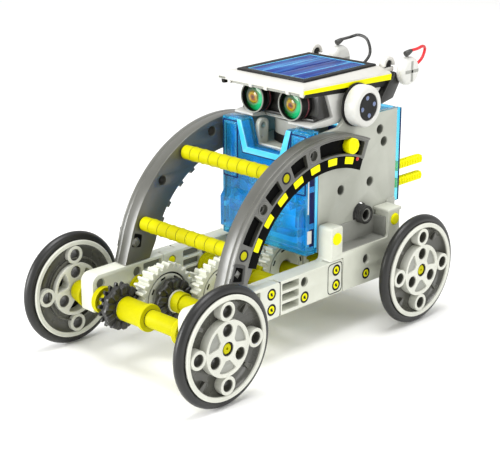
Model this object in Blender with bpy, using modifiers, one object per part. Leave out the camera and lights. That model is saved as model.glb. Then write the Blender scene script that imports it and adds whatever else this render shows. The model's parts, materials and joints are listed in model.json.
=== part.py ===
"""Solar robot kit, built as a four-wheeled car with a tilting solar head.

The robot faces -Y, its left side is +X, and it stands on z = 0 under the middle of its bounding box.
Every length below is in millimetres; MM turns a length into the scene's metres.
"""

import math

import bmesh
import bpy
from mathutils import Vector

MM = 0.001

# Kit grid
HOLE_GRID = 6.8  # spacing of the two hole rows
PITCH = 3 * HOLE_GRID  # spacing of the axles along the frame
LOWER_HOLES = 25.0  # height of the axle line
UPPER_HOLES = LOWER_HOLES + HOLE_GRID
FRONT_AXLE = -3 * PITCH
REAR_AXLE = 3 * PITCH
HOLE_R = 2.2
PEG_R = 1.75
GAP = 0.3  # left between pieces that touch

# Wheels
WHEEL_R = 25.0
WHEEL_X = 46.15
HUB_FACE = 3.4
RIM_R = 21.6
RIM_SEAT_R = 20.1
TYRE_BORE_R = 20.5
TYRE_HALF = 2.25
HUB_BORE_R = 2.0
TYRE_STEPS = 24
HUB_STEPS = 18

# Side frames
FRAME_IN = 26.2
FRAME_OUT = 34.0
FRAME_MID = (FRAME_IN + FRAME_OUT) / 2
BEAM_LOW = 20.8
BEAM_TOP = 36.0
RAIL_TOP = 38.4
POST_TOP = 51.3
FRONT_POST = (17.0, 24.3)  # where each post starts and ends along the frame
REAR_POST = (55.8, 63.9)
POST_PINS = ((PITCH, 46.0), (REAR_AXLE - 1.2, 46.0))
LAP_HALF = 5.2
MIDDLE_END = PITCH + LAP_HALF - 0.8
NOSE = FRONT_AXLE - 4.6
NOSE_LOW = 19.4
NOSE_CHAMFER = 2.4
SLOT_HEIGHT = 3.0
SLOT_LOWS = (22.3, 26.8, 31.3)
FRONT_SLOTS = (-37.2, -27.0)
MIDDLE_SLOTS = (-13.8, -3.6)
CUT_LOW, CUT_HIGH = 10.0, 60.0  # a cutter's heights, well past the beams
CUT_PAST = 3.0  # how far a cutter runs past the face that it cuts

# Arches
ARCH_Y = 16.4
ARCH_Z = 29.0
ARCH_OUT_R = 62.9
ARCH_IN_R = 48.3
ARCH_HOLES_R = 58.1
ARCH_TOP_DEG = 67.0
ARCH_FOOT_DEG = 165.0
ARCH_FOOT_Y = (-47.5, -33.5)
ARCH_PIN_HEAD_R = 3.6
ARCH_PIN_HEAD = 1.6
LOWER_BAR_DEG = 155.8
UPPER_BAR_DEG = 119.1
ARCH_PIN_DEG = 77.9
ARCH_HOLES_DEG = (LOWER_BAR_DEG, 135.8, UPPER_BAR_DEG, 101.7, ARCH_PIN_DEG)
BAR_R = 3.1

# Gearbox body
BODY_HALF = 25.5
PANEL = 2.0
BODY_FRONT = 17.6
BODY_BACK = 70.5
BODY_LOW = 38.3
BODY_TOP = 94.0
COVER_FRONT = 10.3
COVER_WALL = 1.6
COVER_TOP = 92.6
NOTCH_FLOOR = 80.8
NOTCH_FLOOR_HALF = 9.6
NOTCH_TOP_HALF = 13.4
BULGE_HALF = 23.6
BULGE_DEPTH = 3.6
GEAR_SLOT = ((-2.0, 12.4, 30.0), (7.5, 20.0, 42.0))
REAR_WALL = 2.6
REAR_TOP_WALL = 2.0
REAR_LOW = 50.0
DECK_BACK = 43.5
DECK = (78.6, 80.6)
NECK_HALF = 12.5
PANEL_HOLES = ((58.5, 86.1), (61.6, 80.1), (52.4, 63.4), (32.5, 63.5))
PIVOT_HOLE_R = 3.3

# Head
HEAD_Y = 2 * PITCH
HEAD_Z = 100.4
HEAD_HALF = 22.8
EAR_R = 9.2
EAR_IN, EAR_OUT = 26.2, 33.0
SPINDLE_R = 2.9
SPINDLE_IN = 23.1
LUG_R = 7.4
LUG_START, LUG_END = -40, 220  # degrees round the pivot
EYE_X = 11.2
EYE_Z = 102.0
VISOR_HALF = 21.5
CELL_HALF = 20.0
ARM_HALF = 25.0
ARM_SLOT = ((-15.4, 68.0, 100.0), (-9.6, 80.0, 120.0))
TERMINAL_Y = 75.0
TERMINAL_Z = 110.3
TERMINALS = (("left", 25.3), ("right", -14.8))  # each plug's side and its inner face's x
BOOT_LENGTH = 3.6
BOOT_R = 1.4
BOOT_TIP_R = 0.9
BOOT_LEAN = Vector((0.12, 0.93, 0.34)).normalized()

# Gear train
GEAR_MODULE = 1.02
PRESSURE = math.radians(25)
ADDENDUM = 0.8 * GEAR_MODULE
DEDENDUM = 1.05 * GEAR_MODULE
BACKLASH = 0.07
SHAFT_R = 3.75
COLLAR_R = 5.9
SLEEVE_R = 5.0
COLLAR_IN = 23.2
SLEEVE = (-10.6, 3.2, 5.2)  # where the front axle's sleeve starts, meets its collar and ends
CROWN_R = (9.9, 8.9)
CROWN_LOBES = 12
CROWN_LOBE_HALF = 0.35  # half a lobe's width, as a share of the lobes' spacing
OUTPUT_BACK = 5.1
OUTPUT_REACH = 25.5  # idler e to the output shaft, the two gears' pitch radii
OUTPUT_Z = LOWER_HOLES + math.sqrt(OUTPUT_REACH**2 - OUTPUT_BACK**2)
OUTPUT_Y = 2 * PITCH + OUTPUT_BACK
MOTOR_Z = OUTPUT_Z + PITCH
OUTPUT_HUB_R = 4.25
OUTPUT_HUB_IN = 22.0
OUTPUT_HUB_END = 29.6
SOCKET_R = 2.0
SOCKET_IN = 24.0
PLANE_A = (-17.0, -12.5)
PLANE_B = (-11.5, -7.0)
PLANE_C = (0.5, 5.0)
PLANE_D = (-4.5, 0.0)

# Tail rods reach furthest back, so they set the bounding box's middle
TAIL_START = 62.0
TAIL_END = 95.0
TAIL_X = 21.0
TAIL_R = 2.2
TAIL_BORE_R = 2.6
TAIL_HEIGHTS = (57.2, 65.2)
FRONT_END = FRONT_AXLE - WHEEL_R
SHIFT_Y = (TAIL_END + FRONT_END) / 2

WIRE_R = 0.7
ROUND_SIDES = 10
HOLE_SIDES = 8

FACING_X = (math.pi / 2, 0, math.pi / 2)
FACING_Y = (math.pi / 2, 0, 0)
FACING_Z = (0, 0, 0)
TURN_X = (0, math.pi / 2, 0)
TURN_MINUS_X = (0, -math.pi / 2, 0)
TURN_Y = (-math.pi / 2, 0, 0)


# ---------------------------------------------------------------- scene and finishes
def clear_scene():
    for item in list(bpy.data.objects):
        bpy.data.objects.remove(item, do_unlink=True)


def new_collection(name):
    found = bpy.data.collections.get(name) or bpy.data.collections.new(name)
    if name not in bpy.context.scene.collection.children:
        bpy.context.scene.collection.children.link(found)
    return found


def new_finish(name, colour, roughness, metallic=0.0, transmission=0.0):
    finish = bpy.data.materials.new(name)
    finish.use_nodes = True
    finish.diffuse_color = (*colour, 1.0)
    shader = finish.node_tree.nodes["Principled BSDF"]
    shader.inputs["Base Color"].default_value = (*colour, 1.0)
    shader.inputs["Roughness"].default_value = roughness
    shader.inputs["Metallic"].default_value = metallic
    shader.inputs["Transmission Weight"].default_value = transmission
    return finish


clear_scene()
PARTS = new_collection("solar_robot_kit")
CUTTERS = new_collection("cutters")
LIGHT = new_finish("light_plastic", (0.70, 0.71, 0.63), 0.45)
WHITE = new_finish("white_plastic", (0.88, 0.88, 0.86), 0.35)
YELLOW = new_finish("yellow_plastic", (0.95, 0.90, 0.01), 0.35)
DARK = new_finish("dark_plastic", (0.09, 0.09, 0.08), 0.5)
BLUE = new_finish("clear_blue", (0.01, 0.32, 0.85), 0.1, transmission=0.5)
RUBBER = new_finish("black_rubber", (0.02, 0.02, 0.02), 0.7)
CELL = new_finish("solar_cell", (0.01, 0.06, 0.45), 0.15)
LENS = new_finish("eye_lens", (0.02, 0.45, 0.20), 0.08)
STEEL = new_finish("motor_steel", (0.55, 0.56, 0.58), 0.3, metallic=1.0)
RED = new_finish("red_insulation", (0.75, 0.01, 0.02), 0.4)
BLACK = new_finish("black_insulation", (0.02, 0.02, 0.02), 0.4)


def new_pivot(name, place, parent=None):
    """An empty that carries one rigid group; place is in millimetres from its parent."""
    empty = bpy.data.objects.new(name, None)
    empty.empty_display_size = 0.005
    empty.location = Vector(place) * MM
    empty.parent = parent
    PARTS.objects.link(empty)
    return empty


KIT = new_pivot("kit_origin", (0, -SHIFT_Y, 0))
AXIS_FRONT = new_pivot("front_axle_axis", (0, FRONT_AXLE, LOWER_HOLES), KIT)
AXIS_A = new_pivot("idler_a_axis", (0, -2 * PITCH, LOWER_HOLES), KIT)
AXIS_B = new_pivot("idler_b_axis", (0, -PITCH, LOWER_HOLES), KIT)
AXIS_C = new_pivot("idler_c_axis", (0, 0, LOWER_HOLES), KIT)
AXIS_D = new_pivot("idler_d_axis", (0, PITCH, LOWER_HOLES), KIT)
AXIS_E = new_pivot("idler_e_axis", (0, 2 * PITCH, LOWER_HOLES), KIT)
AXIS_REAR = new_pivot("rear_axle_axis", (0, REAR_AXLE, LOWER_HOLES), KIT)
AXIS_OUTPUT = new_pivot("output_axis", (0, OUTPUT_Y, OUTPUT_Z), KIT)
AXIS_MOTOR = new_pivot("motor_axis", (0, OUTPUT_Y, MOTOR_Z), KIT)
AXIS_HEAD = new_pivot("head_axis", (0, HEAD_Y, HEAD_Z), KIT)


# ---------------------------------------------------------------- shape helpers
def add_object(name, data, finish, place, turn, parent, cutter=False):
    item = bpy.data.objects.new(name, data)
    if not cutter:
        data.materials.append(finish)
    (CUTTERS if cutter else PARTS).objects.link(item)
    item.parent = parent
    item.location = Vector(place) * MM
    item.rotation_euler = turn
    if cutter:
        item.hide_render = True
        item.display_type = "WIRE"
    return item


def mesh_from_curve(curve):
    """The curve's solid as a mesh with its caps welded on."""
    carrier = bpy.data.objects.new("carrier", curve)
    bpy.context.scene.collection.objects.link(carrier)
    depsgraph = bpy.context.evaluated_depsgraph_get()
    mesh = bpy.data.meshes.new_from_object(carrier.evaluated_get(depsgraph))
    bpy.data.objects.remove(carrier)
    work = bmesh.new()
    work.from_mesh(mesh)
    bmesh.ops.remove_doubles(work, verts=work.verts, dist=1e-6)
    bmesh.ops.recalc_face_normals(work, faces=work.faces)
    work.to_mesh(mesh)
    work.free()
    return mesh


def plate_mesh(name, loops, thickness):
    """A flat outline, its first loop, with the other loops as holes, extruded evenly both ways."""
    curve = bpy.data.curves.new(name, "CURVE")
    curve.dimensions = "2D"
    curve.fill_mode = "BOTH"
    curve.extrude = thickness * MM / 2
    for loop in loops:
        spline = curve.splines.new("POLY")
        spline.points.add(len(loop) - 1)
        for point, (u, v) in zip(spline.points, loop):
            point.co = (u * MM, v * MM, 0, 1)
        spline.use_cyclic_u = True
    mesh = mesh_from_curve(curve)
    mesh.name = name
    return mesh


def plate(name, loops, span, finish, parent=KIT, across="X", cutter=False):
    """A plate that fills span along one axis. Its loops are (y, z), (x, z) or (x, y) points."""
    low, high = span
    middle = (low + high) / 2
    place = {"X": (middle, 0, 0), "Y": (0, middle, 0), "Z": (0, 0, middle)}[across]
    turn = {"X": FACING_X, "Y": FACING_Y, "Z": FACING_Z}[across]
    mesh = plate_mesh(name, loops, high - low)
    return add_object(name, mesh, finish, place, turn, parent, cutter)


def turned(name, outline, finish, place, turn, parent, steps=ROUND_SIDES, closed=False, cutter=False):
    """A turned solid. The outline's (radius, height) points run down its outer side."""
    mesh = bpy.data.meshes.new(name)
    work = bmesh.new()
    verts = [work.verts.new((radius * MM, 0, height * MM)) for radius, height in outline]
    for start, end in zip(verts, verts[1:]):
        work.edges.new((start, end))
    if closed:
        work.edges.new((verts[-1], verts[0]))
    work.to_mesh(mesh)
    work.free()
    item = add_object(name, mesh, finish, place, turn, parent, cutter)
    screw = item.modifiers.new("turn", "SCREW")
    screw.axis = "Z"
    screw.steps = steps
    screw.render_steps = steps
    screw.use_merge_vertices = True
    screw.merge_threshold = 1e-5
    return item


def stepped(sections):
    """The outline of a solid shaft from its (radius, low, high) sections, lowest first."""
    outline = [(0, sections[-1][2])]
    for radius, low, high in reversed(sections):
        outline += [(radius, high), (radius, low)]
    outline.append((0, sections[0][1]))
    return outline


def combine(item, other, operation):
    boolean = item.modifiers.new(other.name, "BOOLEAN")
    boolean.operation = operation
    boolean.object = other
    boolean.solver = "EXACT"


def tidy_faces(item):
    """Merges the flat faces that the unions left in pieces."""
    merge = item.modifiers.new("flat_faces", "DECIMATE")
    merge.decimate_type = "DISSOLVE"
    merge.angle_limit = math.radians(0.05)


def cut_box(item, low, high, parent=KIT):
    """Cuts the box between two corners out of item."""
    mesh = bpy.data.meshes.new(item.name + "_cut")
    work = bmesh.new()
    bmesh.ops.create_cube(work, size=1)
    size = Vector(high) - Vector(low)
    bmesh.ops.scale(work, vec=size * MM, verts=work.verts)
    work.to_mesh(mesh)
    work.free()
    centre = (Vector(high) + Vector(low)) / 2
    box = add_object(mesh.name, mesh, None, centre, FACING_Z, parent, cutter=True)
    combine(item, box, "DIFFERENCE")


def circle(u, v, radius, count=HOLE_SIDES):
    """A round hole. Each is turned by its own angle, so that no two holes' corners line up."""
    start = 0.13 + 0.029 * u + 0.017 * v
    turns = [start + 2 * math.pi * k / count for k in range(count)]
    return [(u + radius * math.cos(t), v + radius * math.sin(t)) for t in turns]


def rectangle(u0, v0, u1, v1):
    return [(u0, v0), (u1, v0), (u1, v1), (u0, v1)]


def arc(u, v, radius, start_deg, end_deg, count):
    angles = [math.radians(start_deg + (end_deg - start_deg) * k / count) for k in range(count + 1)]
    return [(u + radius * math.cos(a), v + radius * math.sin(a)) for a in angles]


def rounded(points, radius, count=2):
    """The polygon with each corner turned into a short arc-like run of points."""
    result = []
    for index, corner in enumerate(points):
        here = Vector(corner)
        before = Vector(points[index - 1]) - here
        after = Vector(points[(index + 1) % len(points)]) - here
        reach = min(radius, before.length * 0.45, after.length * 0.45)
        start = here + before.normalized() * reach
        end = here + after.normalized() * reach
        for k in range(count + 1):
            t = k / count
            point = start * (1 - t) ** 2 + here * 2 * t * (1 - t) + end * t**2
            result.append((point.x, point.y))
    return result


# ---------------------------------------------------------------- gears
def involute(angle):
    return math.tan(angle) - angle


def gear_loop(teeth, phase):
    """An involute gear's outline with a tooth centred on the phase angle. Each flank is the
    chord from root to tip, which stays inside the true curve."""
    pitch_r = teeth * GEAR_MODULE / 2
    base_r = pitch_r * math.cos(PRESSURE)
    root_r = pitch_r - DEDENDUM
    tip_r = pitch_r + ADDENDUM
    half_tooth = math.pi / (2 * teeth) * (1 - BACKLASH)

    def half_width(radius):
        slope = math.acos(min(1.0, base_r / max(radius, base_r)))
        return half_tooth + involute(PRESSURE) - involute(slope)

    loop = []
    for k in range(teeth):
        centre = phase + 2 * math.pi * k / teeth
        flank = [(r, centre - half_width(r)) for r in (root_r, tip_r)]
        flank += [(r, centre + half_width(r)) for r in (tip_r, root_r)]
        loop += [(r * math.cos(a), r * math.sin(a)) for r, a in flank]
    return loop


def meshing_phase(phase, teeth, direction, other_teeth):
    """The phase of a gear in mesh with one that lies in the other direction from it."""
    offset = ((direction - phase) * teeth / (2 * math.pi)) % 1
    return direction + math.pi + (offset + 0.5) * 2 * math.pi / other_teeth


FORWARD = math.pi
BACKWARD = 0.0
TO_OUTPUT = math.atan2(OUTPUT_Z - LOWER_HOLES, OUTPUT_Y - 2 * PITCH)
UP = math.pi / 2

PHASE_REAR = 0.0
PHASE_E22 = meshing_phase(PHASE_REAR, 18, FORWARD, 22)
PHASE_E28 = 0.0
PHASE_D12 = meshing_phase(PHASE_E28, 28, FORWARD, 12)
PHASE_D28 = 0.0
PHASE_C12 = meshing_phase(PHASE_D28, 28, FORWARD, 12)
PHASE_B28 = meshing_phase(PHASE_C12, 12, FORWARD, 28)
PHASE_B12 = 0.0
PHASE_A28 = meshing_phase(PHASE_B12, 12, FORWARD, 28)
PHASE_A22 = 0.0
PHASE_FRONT = meshing_phase(PHASE_A22, 22, FORWARD, 18)
PHASE_OUT22 = meshing_phase(PHASE_E28, 28, TO_OUTPUT, 22)
PHASE_OUT28 = 0.0
PHASE_MOTOR = meshing_phase(PHASE_OUT28, 28, UP, 12)


def gear(name, teeth, phase, span, finish, axis, bore=None, cutter=False):
    loops = [gear_loop(teeth, phase)]
    if bore:
        loops.append(circle(0, 0, bore))
    return plate(name, loops, span, finish, axis, "X", cutter)


def gear_cluster(name, sections, gears, finish, axis):
    """A shaft with gears moulded on it."""
    shaft = turned(name, stepped(sections), finish, (0, 0, 0), TURN_X, axis)
    for teeth, phase, span in gears:
        ring = gear(f"{name}_{teeth}", teeth, phase, span, None, axis, cutter=True)
        combine(shaft, ring, "UNION")
    tidy_faces(shaft)


def idler_sections(body_low, body_high, radius=SHAFT_R):
    """A shaft that turns in both side frames, thicker between body_low and body_high."""
    tip = FRAME_OUT - 0.4
    return [(PEG_R, -tip, body_low), (radius, body_low, body_high), (PEG_R, body_high, tip)]


def make_idlers():
    inner = FRAME_IN - GAP
    turned("idler_a_shaft", stepped(idler_sections(-inner, inner)), YELLOW, (0, 0, 0), TURN_X,
           AXIS_A)
    bore = SHAFT_R + GAP
    double = gear("idler_a_gear", 28, PHASE_A28, PLANE_B, LIGHT, AXIS_A, bore)
    driver = gear("idler_a_driver", 22, PHASE_A22, (PLANE_A[0], PLANE_B[0] + 0.1), None, AXIS_A,
                  bore, cutter=True)
    combine(double, driver, "UNION")
    tidy_faces(double)
    crown_gear("idler_a_crown", AXIS_A, (-6.5, -1.5), bore)
    for name, axis, large, small in (
        ("idler_b_gear", AXIS_B, PHASE_B28, PHASE_B12),
        ("idler_d_gear", AXIS_D, PHASE_D28, PHASE_D12),
    ):
        gears = [(28, large, PLANE_C), (12, small, PLANE_B)]
        gear_cluster(name, idler_sections(-inner, inner), gears, LIGHT, axis)
    gear_cluster("idler_c_pinion", idler_sections(-inner, inner), [(12, PHASE_C12, PLANE_C)],
                 YELLOW, AXIS_C)
    gears = [(28, PHASE_E28, PLANE_B), (22, PHASE_E22, PLANE_A)]
    gear_cluster("idler_e_gear", idler_sections(-inner, inner), gears, LIGHT, AXIS_E)


def crown_gear(name, axis, span, bore):
    """The outer shape of a dished gear whose coarse teeth stand on its face."""
    loop = []
    for k in range(CROWN_LOBES * 2):
        for edge in (-CROWN_LOBE_HALF, CROWN_LOBE_HALF):
            angle = math.pi * (k + edge) / CROWN_LOBES
            radius = CROWN_R[k % 2]
            loop.append((radius * math.cos(angle), radius * math.sin(angle)))
    return plate(name, [loop, circle(0, 0, bore)], span, DARK, axis)


# ---------------------------------------------------------------- wheels and axles
def hub_outline():
    """A rim with a tyre seat, a thin web and a boss that stands out on the outer face."""
    web = 1.2
    rim_in = 17.2
    rim_face = 3.2
    boss = 9.6
    outer = [(HUB_BORE_R, HUB_FACE), (boss, HUB_FACE), (boss, web), (rim_in, web),
             (rim_in, rim_face)]
    seat = [(RIM_R, rim_face), (RIM_R, TYRE_HALF + GAP), (RIM_SEAT_R, TYRE_HALF)]
    inner = [(rim_in, -rim_face), (rim_in, -web), (HUB_BORE_R, -web)]
    return outer + seat + [(r, -h) for r, h in reversed(seat)] + inner


def tyre_outline():
    half = TYRE_HALF - GAP
    shoulder = WHEEL_R - 0.9
    return [(shoulder, half), (WHEEL_R, half * 0.4), (WHEEL_R, -half * 0.4), (shoulder, -half),
            (TYRE_BORE_R, -half), (TYRE_BORE_R, half)]


def make_wheels():
    for end, axis in (("front", AXIS_FRONT), ("rear", AXIS_REAR)):
        for side, sign, turn in (("left", 1, TURN_X), ("right", -1, TURN_MINUS_X)):
            place = (sign * WHEEL_X, 0, 0)
            turned(f"{end}_{side}_hub", hub_outline(), WHITE, place, turn, axis, HUB_STEPS,
                   closed=True)
            turned(f"{end}_{side}_tyre", tyre_outline(), RUBBER, place, turn, axis, TYRE_STEPS,
                   closed=True)


def make_axles():
    inner = FRAME_IN - GAP
    outer = FRAME_OUT + GAP
    spacer = WHEEL_X - HUB_FACE - GAP
    tip = WHEEL_X + HUB_FACE - 0.6
    ends = [(PEG_R, -tip, -spacer), (SHAFT_R, -spacer, -outer), (PEG_R, -outer, -inner)]
    other_ends = [(r, -high, -low) for r, low, high in reversed(ends)]
    start, step, end = SLEEVE
    middle = [(COLLAR_R, -inner, -COLLAR_IN), (SHAFT_R, -COLLAR_IN, start), (SLEEVE_R, start, step),
              (COLLAR_R, step, end), (SHAFT_R, end, inner)]
    turned("front_axle", stepped(ends + middle + other_ends), YELLOW, (0, 0, 0), TURN_X,
           AXIS_FRONT)
    plain = [(COLLAR_R, -inner, -COLLAR_IN), (SHAFT_R, -COLLAR_IN, COLLAR_IN),
             (COLLAR_R, COLLAR_IN, inner)]
    turned("rear_axle", stepped(ends + plain + other_ends), YELLOW, (0, 0, 0), TURN_X,
           AXIS_REAR)
    bore = SHAFT_R + GAP
    gear("front_crown_gear", 18, PHASE_FRONT, PLANE_A, DARK, AXIS_FRONT, bore)
    gear("rear_axle_gear", 18, PHASE_REAR, PLANE_A, DARK, AXIS_REAR, bore)


# ---------------------------------------------------------------- side frames
def mirrored_span(sign, low, high):
    return (low, high) if sign > 0 else (-high, -low)


def hole_loops(places):
    return [circle(y, z, HOLE_R) for y, z in places]


def slot_loops(start, end):
    """Three slots between two thin ribs."""
    return [rectangle(start, low, end, low + SLOT_HEIGHT) for low in SLOT_LOWS]


def frame_halves(sign):
    """The frame's inner and outer halves across X, each cut past its face and the middle."""
    inner = mirrored_span(sign, FRAME_IN - 1, FRAME_MID + GAP / 2)
    outer = mirrored_span(sign, FRAME_MID - GAP / 2, FRAME_OUT + 1)
    return inner, outer


def make_beams(side, sign):
    span = mirrored_span(sign, FRAME_IN, FRAME_OUT)
    lap = -PITCH
    lap_low, lap_high = lap - LAP_HALF, lap + LAP_HALF
    rows = (LOWER_HOLES, UPPER_HOLES)
    outline = [(NOSE, NOSE_LOW), (lap_high, BEAM_LOW), (lap_high, BEAM_TOP),
               (NOSE + NOSE_CHAMFER, BEAM_TOP), (NOSE, BEAM_TOP - NOSE_CHAMFER)]
    holes = [(y, z) for y in (FRONT_AXLE, -2 * PITCH, lap) for z in rows]
    loops = [rounded(outline, 1.4)] + hole_loops(holes) + slot_loops(*FRONT_SLOTS)
    front = plate(f"{side}_front_beam", loops, span, LIGHT)
    outline = rectangle(lap_low, BEAM_LOW, MIDDLE_END, BEAM_TOP)
    holes = [(y, z) for y in (lap, 0, PITCH) for z in rows]
    loops = [rounded(outline, 1.2)] + hole_loops(holes) + slot_loops(*MIDDLE_SLOTS)
    middle = plate(f"{side}_mid_beam", loops, span, LIGHT)
    inner, outer = frame_halves(sign)
    cut_box(front, (inner[0], lap_low - GAP, CUT_LOW), (inner[1], lap_high + GAP, CUT_HIGH))
    cut_box(middle, (outer[0], lap_low - CUT_PAST, CUT_LOW), (outer[1], lap_high + GAP, CUT_HIGH))
    cut_box(middle, (inner[0], PITCH - LAP_HALF, CUT_LOW),
            (inner[1], PITCH + LAP_HALF + CUT_PAST, CUT_HIGH))


def make_rear_bracket(side, sign):
    span = mirrored_span(sign, FRAME_IN, FRAME_OUT)
    lap_start = PITCH - LAP_HALF + GAP
    step = BEAM_TOP + GAP
    back = BODY_BACK + GAP
    outline = [(lap_start, BEAM_LOW), (back, BEAM_LOW - 0.8), (back, RAIL_TOP),
               (REAR_POST[1], RAIL_TOP), (REAR_POST[1], POST_TOP), (REAR_POST[0], POST_TOP),
               (REAR_POST[0], RAIL_TOP), (FRONT_POST[1], RAIL_TOP), (FRONT_POST[1], POST_TOP),
               (FRONT_POST[0], POST_TOP), (FRONT_POST[0], step), (lap_start, step)]
    holes = [(y, z) for y in (PITCH, HEAD_Y) for z in (LOWER_HOLES, UPPER_HOLES)]
    holes += [(REAR_AXLE, LOWER_HOLES), *POST_PINS]
    loops = [rounded(outline, 1.0, 1)] + hole_loops(holes)
    bracket = plate(f"{side}_rear_bracket", loops, span, LIGHT)
    outer = frame_halves(sign)[1]
    cut_box(bracket, (outer[0], lap_start - CUT_PAST, CUT_LOW), (outer[1], MIDDLE_END + GAP, step))


def arch_point(degrees, radius=ARCH_HOLES_R):
    angle = math.radians(degrees)
    return (ARCH_Y + radius * math.cos(angle), ARCH_Z + radius * math.sin(angle))


def make_arch(side, sign):
    span = mirrored_span(sign, FRAME_IN, FRAME_OUT)
    foot = BEAM_TOP + GAP
    outline = arc(ARCH_Y, ARCH_Z, ARCH_OUT_R, ARCH_TOP_DEG, ARCH_FOOT_DEG, 16)
    outline += [(y, foot) for y in ARCH_FOOT_Y]
    outline += arc(ARCH_Y, ARCH_Z, ARCH_IN_R, ARCH_FOOT_DEG - 2, ARCH_TOP_DEG, 13)
    holes = [arch_point(degrees) for degrees in ARCH_HOLES_DEG]
    plate(f"{side}_arch", [outline] + hole_loops(holes), span, DARK)
    y, z = arch_point(ARCH_PIN_DEG)
    seat = FRAME_OUT + GAP
    sections = [(PEG_R, BODY_HALF + GAP, seat),
                (ARCH_PIN_HEAD_R, seat, FRAME_OUT + ARCH_PIN_HEAD)]
    turn = TURN_X if sign > 0 else TURN_MINUS_X
    turned(f"{side}_arch_pin", stepped(sections), YELLOW, (0, y, z), turn, KIT)


def make_crossbars():
    for name, degrees in (("lower_crossbar", LOWER_BAR_DEG), ("upper_crossbar", UPPER_BAR_DEG)):
        y, z = arch_point(degrees)
        inner = FRAME_IN - GAP
        sections = [(PEG_R, -FRAME_OUT, -inner), (BAR_R, -inner, inner), (PEG_R, inner, FRAME_OUT)]
        turned(name, stepped(sections), YELLOW, (0, y, z), TURN_X, KIT)


# ---------------------------------------------------------------- gearbox body
def make_side_panel(side, sign):
    """A flat panel with a round lug that carries the head's pivot."""
    span = mirrored_span(sign, BODY_HALF - PANEL, BODY_HALF)
    lug = arc(HEAD_Y, HEAD_Z, LUG_R, LUG_START, LUG_END, 10)
    outline = [(BODY_FRONT, BODY_LOW), (BODY_BACK, BODY_LOW), (BODY_BACK, BODY_TOP),
               (HEAD_Y + LUG_R, BODY_TOP)]
    outline += lug + [(30.0, 91.8), (BODY_FRONT, 90.8)]
    holes = [circle(HEAD_Y, HEAD_Z, PIVOT_HOLE_R)]
    holes += hole_loops(PANEL_HOLES)
    holes += hole_loops(POST_PINS)
    if sign > 0:
        holes.append(circle(OUTPUT_Y, OUTPUT_Z, OUTPUT_HUB_R + 2 * GAP))
    plate(f"{side}_side_panel", [outline] + holes, span, LIGHT)


def cover_loop(inset):
    """The front cover's outline with its wide notch, drawn in by inset."""
    half = BODY_HALF - 0.2 - inset
    low = BODY_LOW + inset
    top = COVER_TOP - inset
    notch = [(NOTCH_TOP_HALF + inset, top), (NOTCH_FLOOR_HALF + inset, NOTCH_FLOOR - inset)]
    notch += [(-x, z) for x, z in reversed(notch)]
    return [(-half, low), (half, low), (half, top), *notch, (-half, top)]


def make_front_cover():
    """A clear tray, open behind, with a slot in its floor for the large idler gear."""
    back = BODY_FRONT - GAP
    cover = plate("front_cover", [cover_loop(0)], (COVER_FRONT, back), BLUE, across="Y")
    hollow = plate("front_hollow", [cover_loop(COVER_WALL)], (COVER_FRONT + COVER_WALL, back + 1),
                   None, across="Y", cutter=True)
    combine(cover, hollow, "DIFFERENCE")
    nose, root = COVER_FRONT - BULGE_DEPTH, COVER_FRONT + 0.6
    outline = [(nose, 43.0), (root, 39.6), (root, 62.0), (nose, 56.5)]
    bulge = plate("front_bulge", [outline], (-BULGE_HALF, BULGE_HALF), None, cutter=True)
    combine(cover, bulge, "UNION")
    cut_box(cover, *GEAR_SLOT)


def make_rear_cover():
    """The clear rear shell: a top strip and a back wall, bored for the tail rods."""
    back = BODY_BACK + GAP
    outside = back + REAR_WALL
    front = DECK_BACK + 0.5
    under = BODY_TOP - REAR_TOP_WALL
    outline = [(front, under), (back, under), (back, REAR_LOW), (outside, REAR_LOW),
               (outside, BODY_TOP), (front, BODY_TOP)]
    half = BODY_HALF - PANEL - GAP
    cover = plate("rear_cover", [outline], (-half, half), BLUE)
    for index, z in enumerate(TAIL_HEIGHTS):
        through = [(TAIL_BORE_R, back - CUT_PAST, outside + CUT_PAST)]
        bore = turned(f"tail_bore_{index}", stepped(through), None, (TAIL_X, 0, z), TURN_Y, KIT,
                      cutter=True)
        combine(cover, bore, "DIFFERENCE")


def make_tail_rods():
    for name, z in zip(("lower_tail_rod", "upper_tail_rod"), TAIL_HEIGHTS):
        rod = stepped([(TAIL_R, TAIL_START, TAIL_END)])
        turned(name, rod, YELLOW, (TAIL_X, 0, z), TURN_Y, KIT)


def make_inner_body():
    half = BODY_HALF - PANEL - GAP
    deck = rectangle(-half, BODY_FRONT, half, DECK_BACK)
    plate("top_plate", [deck], DECK, LIGHT, across="Z")
    foot = DECK[1] + GAP
    neck = [(24.5, foot), (38.0, foot), (38.0, 91.6), (27.5, 91.6)]
    plate("neck", [neck], (-NECK_HALF, NECK_HALF), DARK)
    can = [(7.9, 2.0, 20.5), (3.0, 20.5, 22.6)]
    turned("motor", stepped([(3.0, 0.6, 2.0)] + can), STEEL, (0, OUTPUT_Y, MOTOR_Z), TURN_X,
           KIT, 16)


def make_output():
    gear_cluster("output_gear", [(4.6, -13.5, 0.2)],
                 [(28, PHASE_OUT28, PLANE_D), (22, PHASE_OUT22, PLANE_B)], LIGHT, AXIS_OUTPUT)
    sections = [(3.0, 0.5, OUTPUT_HUB_IN), (OUTPUT_HUB_R, OUTPUT_HUB_IN, OUTPUT_HUB_END)]
    hub = turned("output_hub", stepped(sections), DARK, (0, 0, 0), TURN_X, AXIS_OUTPUT, 14)
    bore = stepped([(SOCKET_R, SOCKET_IN, OUTPUT_HUB_END + 1)])
    socket = turned("hub_socket", bore, None, (0, 0, 0), TURN_X, AXIS_OUTPUT, cutter=True)
    combine(hub, socket, "DIFFERENCE")
    gear_cluster("motor_pinion", [(1.5, -5.0, 0.3)], [(12, PHASE_MOTOR, PLANE_D)], WHITE,
                 AXIS_MOTOR)


# ---------------------------------------------------------------- head
def on_head(points):
    """Points given in the robot's frame, measured from the head's axis."""
    return [(y - HEAD_Y, z - HEAD_Z) for y, z in points]


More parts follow.
